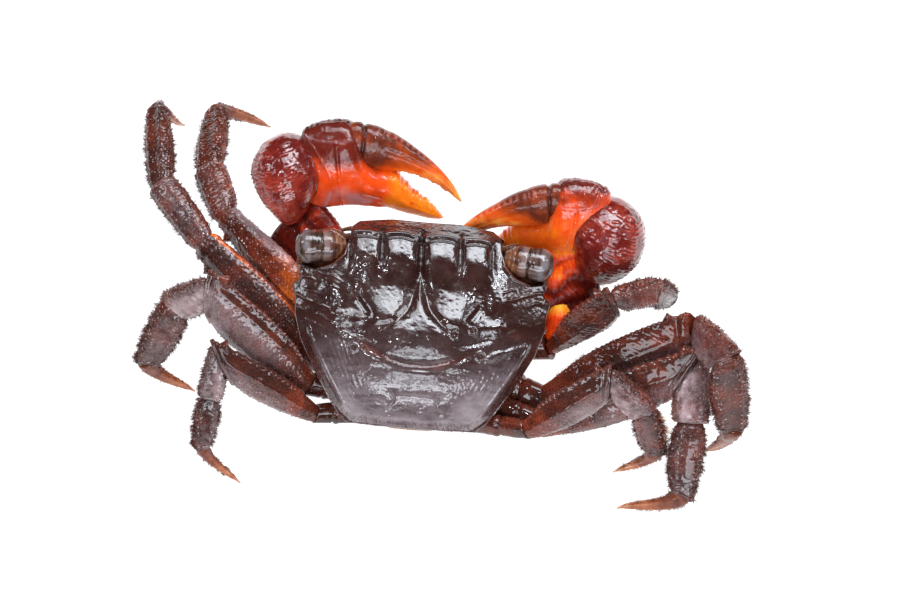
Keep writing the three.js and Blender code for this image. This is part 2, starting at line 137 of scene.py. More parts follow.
def sleeve(middle, wide, thick, halfWide, halfThick, columns, power=0.85):
    # One superellipse ring per row: middle + wide * cos^power * halfWide + thick * sin^power * halfThick.
    angle = ringAngles(columns)
    c, s = np.cos(angle), np.sin(angle)
    u = np.sign(c) * np.abs(c) ** power
    v = np.sign(s) * np.abs(s) ** power
    halfWide, halfThick = np.broadcast_arrays(np.asarray(halfWide, float), np.asarray(halfThick, float))
    return (middle[:, None] + wide[:, None] * (halfWide[:, None] * u)[..., None]
            + thick[:, None] * (halfThick[:, None] * v)[..., None])


def outward(grid):  # unit normals of a sleeve: along its length crossed with round it, turned to face out
    along = np.gradient(grid, axis=0)
    around = np.roll(grid, -1, axis=1) - np.roll(grid, 1, axis=1)
    normal = unit(np.cross(along, around))
    out = grid - grid.mean(axis=1, keepdims=True)
    return normal * np.sign((normal * out).sum())


def rounded(t, start, end):  # quarter circles at the two ends of a length of 1
    low = np.clip(t / start, 0, 1)
    high = np.clip((1 - t) / end, 0, 1)
    return np.sqrt(1 - (1 - low) ** 2) * np.sqrt(1 - (1 - high) ** 2)


def rowsFor(count):  # places from 0 to 1, closer together at the ends
    t = np.linspace(0, 1, count)
    return 0.5 * t + 0.5 * (0.5 - 0.5 * np.cos(np.pi * t))


# Where the body stands and how it is turned, and the middle of the left wrist's box in the same numbers.
bodyPose = {"middle": (0.8, 0.25, 12.0), "yaw": -4.3, "pitch": -16.0, "roll": -4.5,
            "wrist": (18.6, -20.2, 17.0)}

low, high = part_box("claw_left_wrist")
# from the pose's own origin to the frame's
shift = (np.array(low) + np.array(high)) / 2 / metre - bodyPose["wrist"]


def turn(axis, degrees):  # matrix that turns about one axis
    return np.array(Matrix.Rotation(np.radians(degrees), 3, axis))


bodyTurn = turn("Z", bodyPose["yaw"]) @ turn("X", bodyPose["pitch"]) @ turn("Y", bodyPose["roll"])


def fromBody(points):  # body coordinates to the pose's: turned, then moved to the body's middle
    return np.asarray(points, float) @ bodyTurn.T + np.array(bodyPose["middle"])


def addToScene(name, data):  # an object round a mesh, lamp or camera
    item = bpy.data.objects.new(name, data)
    bpy.context.scene.collection.objects.link(item)
    return item


def meshFrom(name, points, quads, triangles, traits, material, nodes):
    # Mesh in metres from points, four-cornered and three-cornered faces, with one number per point and trait.
    mesh = bpy.data.meshes.new(name)
    mesh.vertices.add(len(points))
    mesh.vertices.foreach_set("co", ((points + shift) * metre).ravel())
    corners = np.concatenate([quads.ravel(), triangles.ravel()])
    starts = np.concatenate([np.arange(len(quads)) * 4, len(quads) * 4 + np.arange(len(triangles)) * 3])
    mesh.loops.add(len(corners))
    mesh.loops.foreach_set("vertex_index", corners)
    mesh.polygons.add(len(starts))
    mesh.polygons.foreach_set("loop_start", starts)
    mesh.polygons.foreach_set("use_smooth", np.ones(len(starts), bool))
    for trait, values in traits.items():
        layer = mesh.attributes.new(trait, "FLOAT", "POINT")
        layer.data.foreach_set("value", np.asarray(values, np.float32).ravel())
    mesh.update(calc_edges=True)
    piece = addToScene(name, mesh)
    mesh.materials.append(material)
    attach(piece, "root")
    for node in nodes:
        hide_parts(node)
    return piece


def makeSurface(name, grid, finish, nodes=(), **traits):
    # Closed skin over a grid of rings, with a fan of triangles over the first and the last ring. It takes the
    # finish's material.
    rows, columns, _ = grid.shape
    points = np.concatenate([grid.reshape(-1, 3), grid[:1].mean(axis=1), grid[-1:].mean(axis=1)])
    here = np.arange(columns)
    there = (here + 1) % columns
    base = (np.arange(rows - 1) * columns)[:, None]
    quads = np.stack([base + here, base + there, base + columns + there, base + columns + here], -1)
    quads = quads.reshape(-1, 4)
    first = np.stack([np.full(columns, rows * columns), there, here], -1)
    end = base[-1] + columns
    last = np.stack([np.full(columns, rows * columns + 1), end + here, end + there], -1)
    triangles = np.concatenate([first, last])
    a, b, c, d = points[quads.T]
    volume = (a * np.cross(b, c)).sum() + (a * np.cross(c, d)).sum()
    ends = points[triangles]
    volume += (ends[:, 0] * np.cross(ends[:, 1], ends[:, 2])).sum()
    if volume < 0:
        quads, triangles = quads[:, ::-1], triangles[:, ::-1]
    full = {}
    for trait, values in traits.items():
        values = np.broadcast_to(values, (rows, columns))
        full[trait] = np.concatenate([values.ravel(), [values[0].mean(), values[-1].mean()]])
    return meshFrom(name, points, quads, triangles, full, finishes[finish], nodes)


def addNode(tree, kind, settings=None, **inputs):  # a node with its settings, and its sockets set or linked
    item = tree.nodes.new(kind)
    for key, value in (settings or {}).items():
        setattr(item, key, value)
    for key, value in inputs.items():
        socket = item.inputs[int(key[1:])] if key[1:].isdigit() else item.inputs[key.replace("_", " ")]
        if isinstance(value, bpy.types.NodeSocket):
            tree.links.new(value, socket)
        else:
            socket.default_value = value
    return item


def newShader(name):  # an empty material, its tree and its shader
    material = bpy.data.materials.new(name)
    material.use_nodes = True
    tree = material.node_tree
    return material, tree, tree.nodes["Principled BSDF"]


def setSockets(shader, **values):  # each named socket gets its value
    for key, value in values.items():
        shader.inputs[key.replace("_", " ")].default_value = value


def placeOn(tree):  # the place on the piece
    return addNode(tree, "ShaderNodeTexCoord").outputs["Object"]


def traitOf(tree, trait):  # one of the numbers that a mesh carries at its points
    return addNode(tree, "ShaderNodeAttribute", {"attribute_name": trait}).outputs["Fac"]


def maths(tree, operation, *values, clamp=False):  # one sum of numbers or sockets
    sockets = {f"_{number}": value for number, value in enumerate(values)}
    return addNode(tree, "ShaderNodeMath", {"operation": operation, "use_clamp": clamp}, **sockets).outputs[0]


def ramp(tree, factor, stops):  # colours along a line from 0 to 1
    item = addNode(tree, "ShaderNodeValToRGB", Fac=factor)
    while len(item.color_ramp.elements) < len(stops):
        item.color_ramp.elements.new(0.5)
    for element, (place, colour) in zip(item.color_ramp.elements, stops):
        element.position = place
        element.color = (*colour, 1)
    return item.outputs["Color"]


def blendColour(tree, kind, amount, first, second):  # the second colour over the first, by the amount
    settings = {"data_type": "RGBA", "blend_type": kind}
    return addNode(tree, "ShaderNodeMix", settings, _0=amount, _6=first, _7=second).outputs[2]


def stretch(tree, value, low, high, to0, to1):  # low to high becomes to0 to to1
    item = addNode(tree, "ShaderNodeMapRange", Value=value, From_Min=low, From_Max=high,
                   To_Min=to0, To_Max=to1)
    return item.outputs["Result"]


def greyOf(tree, value):  # a colour with the value in all three parts
    return addNode(tree, "ShaderNodeCombineColor", Red=value, Green=value, Blue=value).outputs["Color"]


def toneColour(tree, field, amount, stops):
    # The tone trait picks a colour along the stops, moved by the field's distance from 0.5 times the amount.
    lower = maths(tree, "SUBTRACT", traitOf(tree, "tone"), 0.5 * amount)
    return ramp(tree, maths(tree, "MULTIPLY_ADD", field, amount, lower, clamp=True), stops)


# How a shell looks unless its own finish says otherwise. Patch, speck, grain, pearlSize and warpSize are
# cells to a metre, noise the range that patches and specks are stretched from, drift and speckle how far they
# move the colour, bump the relief in metres, fine and grainShare its shares. PaintedSheen is the grey-lilac
# colour of the painted reflection. PaintedGlint is how pale the tips of the chosen granules are painted, as
# painted glints, picked the chance at which they turn pale, dot where a tip starts and stops fading, warp how
# far their pattern bends in metres, and calm the bump where none are wanted. Coat is the film of water, thin
# what is left of it on granules, wet whether it follows the bump, deep how much light goes in.
plainLook = {
    "patch": 700, "drift": 0.3, "speck": 5200, "speckle": 0.35, "noise": (0.35, 0.65),
    "bloom": (0.16, 0.10, 0.11), "grain": 3400, "grainShare": 0.8, "fine": 0.5, "bump": 0.00003,
    "pearl": 0.0, "pearlSize": 2700, "warp": (0.0004, 0.0004, 0.0004), "warpSize": 4200.0,
    "picked": (0.58, 0.68), "dot": (0.12, 0.34), "calm": 0.12, "thin": 1.0,
    "coat": 0.6, "coatRough": 0.06, "coatIor": 1.4, "wet": False, "ior": 1.5,
    "deep": 0.0, "radius": (1.0, 0.25, 0.1), "depth": 0.0012,
}


def makeFinish(name, stops, **own):
    # Wet chitin: the tone trait picks a colour along the stops, the sheen trait mixes in a grey-lilac colour
    # that is a painted reflection, patches and specks vary it, and fine grain and pits are bump under a clear
    # film.
    look = {**plainLook, **own}
    material, tree, shader = newShader(name)
    place = placeOn(tree)
    patches = addNode(tree, "ShaderNodeTexNoise", Vector=place, Scale=look["patch"],
                      Detail=4.0).outputs["Fac"]
    colour = toneColour(tree, patches, look["drift"], stops)
    # Painted sheen: the trait mixes a grey-lilac painted reflection into the colour.
    grey = traitOf(tree, "bloom")
    colour = blendColour(tree, "MIX", grey, colour, (*look["bloom"], 1))
    specks = addNode(tree, "ShaderNodeTexNoise", Vector=place, Scale=look["speck"], Detail=2.0).outputs["Fac"]
    shade = stretch(tree, specks, *look["noise"], 1 - look["speckle"], 1 + look["speckle"])
    amount = stretch(tree, grey, 0.0, 0.6, 1.0, 0.3)
    colour = blendColour(tree, "MULTIPLY", amount, colour, greyOf(tree, shade))
    setSockets(shader, Coat_Weight=look["coat"], Coat_Roughness=look["coatRough"], Coat_IOR=look["coatIor"],
               Specular_IOR_Level=look["shine"], IOR=look["ior"], Subsurface_Weight=look["deep"],
               Subsurface_Radius=look["radius"], Subsurface_Scale=look["depth"])
    force = 1.0
    # Painted glints: pale tips on a share of the granules stand in for glints of light.
    if look["pearl"]:  # pale tips on a share of the granules, and a calmer skin where none are wanted
        warp = addNode(tree, "ShaderNodeTexNoise", Vector=place, Scale=look["warpSize"],
                       Detail=1.0).outputs["Color"]
        bent = addNode(tree, "ShaderNodeVectorMath", {"operation": "MULTIPLY_ADD"}, _0=warp, _1=look["warp"],
                       _2=place).outputs[0]
        dots = addNode(tree, "ShaderNodeTexVoronoi", Vector=bent, Scale=look["pearlSize"])
        chance = addNode(tree, "ShaderNodeSeparateColor", Color=dots.outputs["Color"]).outputs["Red"]
        wanted = traitOf(tree, "pearl")
        force = stretch(tree, wanted, 0.0, 1.0, look["calm"], 1.0)
        if look["thin"] < 1:
            film = stretch(tree, wanted, 0.0, 1.0, look["coat"], look["coat"] * look["thin"])
            tree.links.new(film, shader.inputs["Coat Weight"])
        chosen = maths(tree, "MULTIPLY", stretch(tree, chance, *look["picked"], 0.0, look["pearl"]), wanted)
        dot = maths(tree, "MULTIPLY", stretch(tree, dots.outputs["Distance"], *look["dot"], 1.0, 0.0), chosen)
        colour = blendColour(tree, "MIX", dot, colour, (*look["pearlTint"], 1))
    tree.links.new(colour, shader.inputs["Base Color"])
    tree.links.new(stretch(tree, patches, *look["noise"], *look["rough"]), shader.inputs["Roughness"])
    grain = addNode(tree, "ShaderNodeTexVoronoi", Vector=place, Scale=look["grain"]).outputs["Distance"]
    height = maths(tree, "MULTIPLY_ADD", stretch(tree, grain, 0.0, 0.6, 1.0, 0.0), look["grainShare"],
                   stretch(tree, specks, 0.0, 1.0, 0.0, look["fine"]))
    bump = addNode(tree, "ShaderNodeBump", Strength=force, Distance=look["bump"], Height=height)
    for socket in ("Normal", "Coat Normal") if look["wet"] else ("Normal",):
        tree.links.new(bump.outputs["Normal"], shader.inputs[socket])
    return material


# The cornea's facets and clouds are cells to a metre. Edge is how far the dark edge of a facet reaches, dark
# its brightness, and drift how far clouds move the colour.
corneaLook = {"facet": 9000.0, "edge": 0.12, "dark": 0.55, "cloud": 900.0, "drift": 0.4, "rough": 0.3,
              "shine": 0.2, "coat": 0.9, "coatRough": 0.05}


def makeCornea(name, stops):
    # Grey-green glassy cap: dark facets seen under a clear film, clouded along the stops.
    look = corneaLook
    material, tree, shader = newShader(name)
    place = placeOn(tree)
    facets = addNode(tree, "ShaderNodeTexVoronoi", {"feature": "DISTANCE_TO_EDGE"}, Vector=place,
                     Scale=look["facet"])
    edge = stretch(tree, facets.outputs["Distance"], 0.0, look["edge"], look["dark"], 1.0)
    cloud = addNode(tree, "ShaderNodeTexNoise", Vector=place, Scale=look["cloud"], Detail=3.0).outputs["Fac"]
    clouded = toneColour(tree, cloud, look["drift"], stops)
    colour = blendColour(tree, "MULTIPLY", 1.0, clouded, greyOf(tree, edge))
    tree.links.new(colour, shader.inputs["Base Color"])
    setSockets(shader, Roughness=look["rough"], Specular_IOR_Level=look["shine"], Coat_Weight=look["coat"],
               Coat_Roughness=look["coatRough"])
    return material


def makeBristle(name, root, tip):  # stiff hair, from its root colour to its tip colour
    material, tree, shader = newShader(name)
    tree.links.new(ramp(tree, traitOf(tree, "tip"), [(0.0, root), (1.0, tip)]), shader.inputs["Base Color"])
    setSockets(shader, Roughness=0.45)
    return material


finishes = {
    "shell": makeFinish(
        "wet_shell", [(0.0, (0.012, 0.0036, 0.0026)), (0.4, (0.034, 0.0095, 0.007)),
                      (0.7, (0.11, 0.028, 0.019)), (1.0, (0.28, 0.10, 0.045))],
        rough=(0.22, 0.34), coat=1.0, coatRough=0.10, coatIor=1.5, speckle=0.25, shine=0.3,
        bloom=(0.225, 0.172, 0.184), bump=0.000014, grain=2600, wet=True),
    "flank": makeFinish(
        "hairy_flank", [(0.0, (0.014, 0.005, 0.003)), (0.5, (0.07, 0.020, 0.010)), (1.0, (0.26, 0.09, 0.04))],
        rough=(0.25, 0.45), shine=0.2),
    "underside": makeFinish(
        "pale_underside", [(0.0, (0.10, 0.035, 0.02)), (0.5, (0.27, 0.13, 0.075)), (1.0, (0.42, 0.26, 0.17))],
        rough=(0.35, 0.55), coat=0.3, shine=0.5, deep=0.2),
    "leg": makeFinish(
        "grained_leg", [(0.0, (0.011, 0.004, 0.0028)), (0.35, (0.044, 0.0105, 0.0062)),
                        (0.7, (0.165, 0.028, 0.012)), (1.0, (0.66, 0.12, 0.012))],
        rough=(0.32, 0.45), coat=1.0, thin=0.6, coatRough=0.05, coatIor=1.46, shine=0.05, bump=0.00002,
        bloom=(0.43, 0.31, 0.315), deep=0.10, speckle=0.5, grain=2700, fine=0.2, pearl=0.85,
        pearlTint=(0.66, 0.52, 0.52)),
    "toe": makeFinish(
        "horny_toe", [(0.0, (0.045, 0.010, 0.006)), (0.5, (0.17, 0.040, 0.016)), (0.85, (0.42, 0.14, 0.06)),
                      (1.0, (0.62, 0.42, 0.27))],
        rough=(0.25, 0.4), shine=0.2, deep=0.1, speckle=0.2),
    "arm": makeFinish(
        "red_arm", [(0.0, (0.03, 0.003, 0.002)), (0.4, (0.15, 0.009, 0.004)), (0.7, (0.85, 0.062, 0.004)),
                    (1.0, (1.0, 0.42, 0.03))],
        rough=(0.25, 0.36), coat=0.25, coatRough=0.04, shine=0.04, deep=0.3, speckle=0.12, bump=0.00002,
        wet=True),
    "wrist": makeFinish(
        "wrinkled_wrist", [(0.0, (0.03, 0.003, 0.003)), (0.5, (0.13, 0.008, 0.005)),
                           (1.0, (0.42, 0.05, 0.025))],
        rough=(0.26, 0.36), coat=1.0, coatRough=0.05, coatIor=1.55, shine=0.1, deep=0.15,
        bloom=(0.42, 0.20, 0.21), speckle=0.15, bump=0.00002, grain=2600, fine=0.2, pearl=0.25,
        pearlTint=(0.75, 0.45, 0.45), pearlSize=3400, wet=True),
    "palm": makeFinish(
        "red_palm", [(0.0, (0.025, 0.004, 0.003)), (0.35, (0.13, 0.012, 0.006)), (0.7, (0.85, 0.072, 0.005)),
                     (1.0, (1.0, 0.27, 0.010))],
        rough=(0.25, 0.36), coat=0.8, coatIor=1.45, coatRough=0.04, shine=0.12, deep=0.3,
        bloom=(0.50, 0.30, 0.31), speckle=0.10, bump=0.000015, wet=True),
    "finger": makeFinish(
        "orange_finger", [(0.0, (0.025, 0.006, 0.004)), (0.3, (0.12, 0.020, 0.008)),
                          (0.65, (0.66, 0.085, 0.005)), (1.0, (0.95, 0.42, 0.08))],
        rough=(0.25, 0.36), coatRough=0.04, shine=0.12, deep=0.3, bloom=(0.50, 0.30, 0.31), speckle=0.10,
        bump=0.000015, wet=True),
    "stalk": makeFinish(
        "banded_stalk", [(0.0, (0.012, 0.005, 0.004)), (0.5, (0.08, 0.025, 0.014)),
                         (1.0, (0.30, 0.12, 0.05))],
        rough=(0.2, 0.3), coat=1.0, coatRough=0.03, drift=0.2, deep=0.15, shine=0.2, bloom=(0.19, 0.14, 0.14),
        speckle=0.15),
    "cornea": makeCornea(
        "glassy_cornea", [(0.0, (0.010, 0.006, 0.006)), (0.3, (0.040, 0.017, 0.009)),
                          (0.6, (0.105, 0.056, 0.046)), (1.0, (0.165, 0.145, 0.15))]),
    "bristle": makeBristle("stiff_bristle", (0.045, 0.010, 0.007), (0.16, 0.038, 0.020)),
    "paleBristle": makeBristle("pale_bristle", (0.35, 0.14, 0.07), (0.75, 0.50, 0.36)),
}
print("finishes made")


def makeBristles(name, roots, ways, lengths, widths, homes, finish, slot, seed):
    # Each bristle is a three-sided spike in two lengths: root ring, middle ring and tip, bent by a droop. Its
    # patch on the map is a small square at its home, the place of its root on the skin's own unwrap.
    count = len(roots)
    draw = np.random.default_rng(seed)
    side = unit(np.cross(ways, unit(draw.normal(size=(count, 3)))))
    other = np.cross(ways, side)
    bend = side * (bristle["droop"] * draw.uniform(-1, 1, count) * lengths)[:, None]
    angle = 2 * np.pi * np.arange(3) / 3
    around = side[:, None] * np.cos(angle)[None, :, None] + other[:, None] * np.sin(angle)[None, :, None]
    base = roots[:, None] + around * (widths / 2)[:, None, None]
    half = roots + ways * (lengths * bristle["middle"])[:, None] + bend * bristle["middleBend"]
    half = half[:, None] + around * (widths * bristle["middleWidth"])[:, None, None]
    end = (roots + ways * lengths[:, None] + bend)[:, None]
    points = np.concatenate([base, half, end], axis=1).reshape(-1, 3)
    first = (np.arange(count) * 7)[:, None, None]
    k = np.arange(3)
    n = (k + 1) % 3
    quads = (first + np.stack([k, n, n + 3, k + 3], -1)[None]).reshape(-1, 4)
    tips = (first + np.stack([k + 3, n + 3, np.full(3, 6)], -1)[None]).reshape(-1, 3)
    feet = (first[:, :, 0] + np.array([[2, 1, 0]])).reshape(-1, 3)
    tip = np.tile([0, 0, 0, bristle["middle"], bristle["middle"], bristle["middle"], 1.0], count)
    triangles = np.concatenate([tips, feet])
    piece = meshFrom(name, points, quads, triangles, {"tip": tip}, finishes[finish], [])
    size = bristle["patch"]
    patch = np.array([(0, 0), (1, 0), (0.5, 0.3), (0.2, 0.5), (0.8, 0.5), (0.5, 0.7), (0.5, 1)]) * size
    places = (homes[:, None] * 0.99 + size + patch[None]).reshape(-1, 2)
    layer = piece.data.uv_layers.new(name="OFBake")
    corners = np.zeros(len(piece.data.loops), np.int32)
    piece.data.loops.foreach_get("vertex_index", corners)
    layer.data.foreach_set("uv", places[corners].astype(np.float32).ravel())


# A bristle's droop and root depth, its middle ring's place, width and share of the bend, the size of its
# patch on the map, and how far a clump scatters.
bristle = {"droop": 0.3, "sunk": 0.05, "middle": 0.55, "middleWidth": 0.32, "middleBend": 0.3,
           "patch": 0.003, "scatter": 0.2}


def growBristles(name, patches, finish, slot, seed):
    # Clumps of bristles on each patch of skin (grid, chance of a root, clumps, bristles in each, length,
    # width and lean). They stand out along the normal, tipped forward by the lean and a little at random.
    draw = np.random.default_rng(seed)
    found = []
    for number, (grid, chance, clumps, each, length, width, lean) in enumerate(patches):
        rows, columns = grid.shape[:2]
        chance = np.broadcast_to(chance, (rows, columns)).ravel()
        middle = np.repeat(draw.choice(rows * columns, clumps, p=chance / chance.sum()), each)
        r = np.clip(middle // columns + draw.integers(-1, 2, len(middle)), 0, rows - 1)
        c = (middle % columns + draw.integers(-1, 2, len(middle))) % columns
        out = outward(grid)[r, c]
        forward = unit(np.gradient(grid, axis=0))[r, c]
        tip = np.repeat(draw.uniform(0.3, 1.4, clumps) * lean, each)[:, None]
        way = unit(out + forward * tip + draw.normal(0, bristle["scatter"], (len(r), 3)))
        size = np.repeat(draw.uniform(0.6, 1.2, clumps), each) * draw.uniform(0.6, 1.1, len(r))
        home = np.stack([(number + c / columns) / len(patches), r / rows], -1)
        root = grid[r, c] - out * bristle["sunk"]
        found.append((root, way, length * size + bristle["sunk"], np.full(len(r), width), home))
    makeBristles(name, *[np.concatenate(column) for column in zip(*found)], finish, slot, seed + 1)


# The back, in its own millimetres: x to its left, y to the rear, z up. The outline is one half, in x and y.
# The lines give, by y, how far out a groove lies or how high a swelling is, and the dome line also its
# half width. Craters are (x, y, size). The margin is how the surface goes on past the top: (scale, share of
# the height that is gone).
back = {
    "halfWidth": 17.0, "front": -15.0, "rear": 13.0, "crown": 6.4, "columns": 620, "rings": 126,
    "soften": 0.09,
    "outline": [(0, -15.0), (4.6, -15.1), (9.0, -14.4), (10.0, -13.4), (10.2, -11.6), (10.9, -9.4),
                (12.3, -7.9), (14.6, -7.1), (16.9, -7.8), (16.2, -6.1), (17.3, -5.0), (16.85, -3.4),
                (16.7, -1.0), (15.7, 2.0), (14.2, 4.8), (12.6, 7.5), (11.1, 9.8), (9.9, 11.5), (8.6, 12.5),
                (4.6, 12.9), (0, 13.0)],
    "margin": [(0.993, 0.03), (0.997, 0.07), (0.999, 0.13), (0.998, 0.22), (0.994, 0.33), (0.987, 0.46),
               (0.979, 0.6), (0.970, 0.74), (0.962, 0.87), (0.955, 0.97), (0.95, 1), (0.9, 1), (0.5, 1),
               (0.02, 1)],
    "crest": 0.42, "lobe": 0.8, "bulge": 1.05, "dome": 0.95, "fork": 0.42, "smile": 0.36, "plate": 0.12,
    "forkLine": [(-7.6, 0.1), (-6.4, 0.35), (-4.5, 0.85), (-2.4, 1.45), (-1.1, 2.4), (0.1, 3.7), (1.0, 5.0)],
    "bulgeLine": [(-6.4, 0), (-5.0, 0.08), (-3.6, 0.36), (-1.9, 0.82), (-1.0, 0.97), (-0.4, 0.93), (0.4, 0.6),
                  (1.4, 0.15), (2.4, 0)],
    "domeLine": [(-5.6, 0, 0.9), (-4.4, 0.14, 1.2), (-3.0, 0.48, 1.9), (-1.5, 0.86, 2.8), (0, 1.24, 3.8),
                 (1.0, 1.42, 4.8), (2.0, 1.47, 5.4), (3.2, 1.38, 5.8), (4.6, 1.08, 6.2), (6.0, 0.62, 6.6),
                 (7.4, 0.2, 7), (8.6, 0, 7)],
    "lobeLine": [(0.3, 0), (0.6, 0.45), (0.9, 0.75), (1.6, 0.86), (2.4, 0.95), (3.0, 1.0), (3.6, 0.96),
                 (4.6, 0.6), (6, 0.2), (7.4, 0)],
    "craters": [(8.4, 3.3, 0.34), (7.1, 3.3, 0.22), (-7.3, -0.1, 0.34), (-4.8, 0.8, 0.38), (-8.4, 3.2, 0.36)],
    # ridges and grooves on both sides: height, start, end and half width
    "strips": [(0.34, (10.9, -0.9), (7.9, -0.4), 0.75), (0.12, (8.3, -0.9), (5.2, 0.8), 0.6),
               (-0.26, (9.6, 0.8), (6.0, 2.1), 0.5), (-0.3, (8.0, -3.0), (6.9, -1.4), 0.35)],
    "creases": [(-0.2, (3.3, 8.7), (3.0, 9.7), 0.22), (-0.14, (2.9, 9.9), (3.6, 11.0), 0.2)],
}


def closedOutline(half, columns, soften):
    # The half outline and its mirror image as one closed line of evenly spaced points, its corners softened
    # by averaging over a short length.
    half = np.array(half, float)
    whole = np.concatenate([half, half[-2:0:-1] * [-1, 1], half[:1]])
    walked = np.concatenate([[0], np.cumsum(np.linalg.norm(np.diff(whole, axis=0), axis=1))])
    count = 4096
    fine = np.linspace(0, walked[-1], count, endpoint=False)
    line = np.stack([np.interp(fine, walked, whole[:, k]) for k in range(2)], -1)
    pitch = np.fft.fftfreq(count, d=walked[-1] / count)
    kept = np.exp(-(2 * np.pi * pitch * soften) ** 2 / 2)
    line = np.fft.ifft(np.fft.fft(line, axis=0) * kept[:, None], axis=0).real
    step = np.linalg.norm(np.roll(line, -1, axis=0) - line, axis=1)
    walked = np.concatenate([[0], np.cumsum(step)])
    even = np.linspace(0, walked[-1], columns, endpoint=False)
    closed = np.concatenate([line, line[:1]])
    return np.stack([np.interp(even, walked, closed[:, k]) for k in range(2)], -1)


def backHeight(x, y):  # crown less the fall to the sides, to the rear and to the bent-down front
    halfWidth = back["halfWidth"] - 0.58 * np.maximum(0, y + 1.5)
    across = np.minimum(1.1, np.abs(x) / halfWidth)
    side = 3.1 * across ** 3
    rear = 5.0 * (np.maximum(0, y) / back["rear"]) ** 2.4
    fore = 1.6 * (np.maximum(0, -y) / 13) ** 2.5
    frontEdge = 2.2 * (np.maximum(0, back["front"] + 2.6 - y) / 2.6) ** 1.5
    return back["crown"] - side - rear - fore - frontEdge


def loopHill(x, y, halfX, halfY):  # 1 inside an ellipse, falling off steeply past it
    return np.exp(-((x / halfX) ** 2 + (y / halfY) ** 2) ** 2)


def frontRelief(a, y, flat):
    # A crest along the front edge, a groove behind it, then four lobes and the grooves between them.
    inner = np.maximum(0, 1 - ((a - 2.9) / 2.4) ** 2)
    outer = np.maximum(0, 1 - ((a - 7.5) / 2.2) ** 2)
    crestLine = -12.3 - 0.5 * inner - 0.4 * outer
    front = ease((10.0 - a) / 0.8)
    height = back["crest"] * hill(y, crestLine, 0.42) * front - 0.3 * hill(y, crestLine + 0.72, 0.24) * front
    pillow = curve(back["lobeLine"], np.clip(y - crestLine, 0.3, 7.4))[..., 0]
    lobes = np.exp(-(np.abs(a - 2.8) / 2.25) ** 6) + 0.9 * np.exp(-(np.abs(a - 7.4) / 1.95) ** 6)
    height = height + back["lobe"] * pillow * lobes
    height = height - 0.75 * hill(a, 0, 0.3 + 0.05 * np.maximum(0, y + 9)) * between(y, -12.9, -7.0, 2.2)
    height = height - 0.6 * hill(a, 5.22, 0.27) * between(y, -12.7, -8.6, 1.6)
    height = height - 0.35 * hill(a, 9.5, 0.4) * between(y, -12.2, -8.0, 1.6)
    band = ease((crestLine - 0.3 - y) / 0.3) * front
    wavy = y + 0.2 * lumps(flat, 1.0, 19)
    return height + band * (0.20 * grains(flat, 0.45, 33) + 0.04 * waves(wavy, 0.7, 2)), band


def middleRelief(a, y):
    # The forked groove, the bulge on either side of it and the dome behind, the dents beside the dome.
    places = np.clip(y, -7.6, 1.0)
    at, behind, ahead = (curve(back["forkLine"], places + step)[..., 0] for step in (0, 0.05, -0.05))
    away = (a - at) / np.sqrt(1 + ((behind - ahead) / 0.1) ** 2)
    fork = hill(away, 0, 0.2) * between(y, -7.4, 0.9, 1.0)
    height = -back["fork"] * hill(away, 0, 0.75) * between(y, -7.6, 0.6, 2.0) - 0.07 * fork
    bulge = curve(back["bulgeLine"], np.clip(y, -6.4, 2.4))[..., 0]
    height = height + back["bulge"] * bulge * np.exp(-np.abs((a - 4.5) / 2.5) ** 3)
    dome = curve(back["domeLine"], np.clip(y, -5.6, 5.8))
    height = height + back["dome"] * dome[..., 0] * np.exp(-np.abs(a / dome[..., 1]) ** 3)
    height = height - 0.35 * hill(a, 8.6, 0.9) * hill(y, -4.2, 2.2)
    height = height + 0.30 * hill(a, 11.2, 1.6) * hill(y, -4.6, 1.6)
    for rise, start, end, width in back["strips"]:
        height = height + rise * strip(a, y, start, end, width)
    return height, fork


def smileRelief(a, y, flat):  # the bowed groove across the middle, and the flat plates before and behind it
    away = (y - 5.3 + 0.045 * a ** 2) / np.sqrt(1 + (0.09 * a) ** 2)
    smile = hill(away, 0, 0.55) * ease((8.8 - a) / 2.6) * (0.75 + 0.25 * lumps(flat, 1.6, 23))
    height = -back["smile"] * smile + 0.07 * hill(away, 1.0, 0.5) * ease((7.0 - a) / 2)
    height = height + back["plate"] * loopHill(a, y - 2.7 + 0.03 * a ** 2, 6.0, 1.9)
    height = height + 0.26 * loopHill(a, y - 7.3, 4.3, 1.7)
    creased = a + 0.25 * lumps(flat, 0.8, 17)
    for rise, start, end, width in back["creases"]:
        height = height + rise * strip(creased, y, start, end, width)
    return height - 0.10 * hill(y, 9.1 + 0.02 * a ** 2, 0.3) * ease((2.8 - a) / 1), smile


def craterRelief(x, y):  # small pits with a raised ring round each
    height = pits = 0
    for px, py, size in back["craters"]:
        away = np.sqrt((x - px) ** 2 + (y - py) ** 2)
        pits = pits + hill(away, 0, size * 0.7)
        height = height - 0.35 * hill(away, 0, size * 0.7) + 0.14 * hill(away, size * 1.5, size * 0.5)
    return height, pits


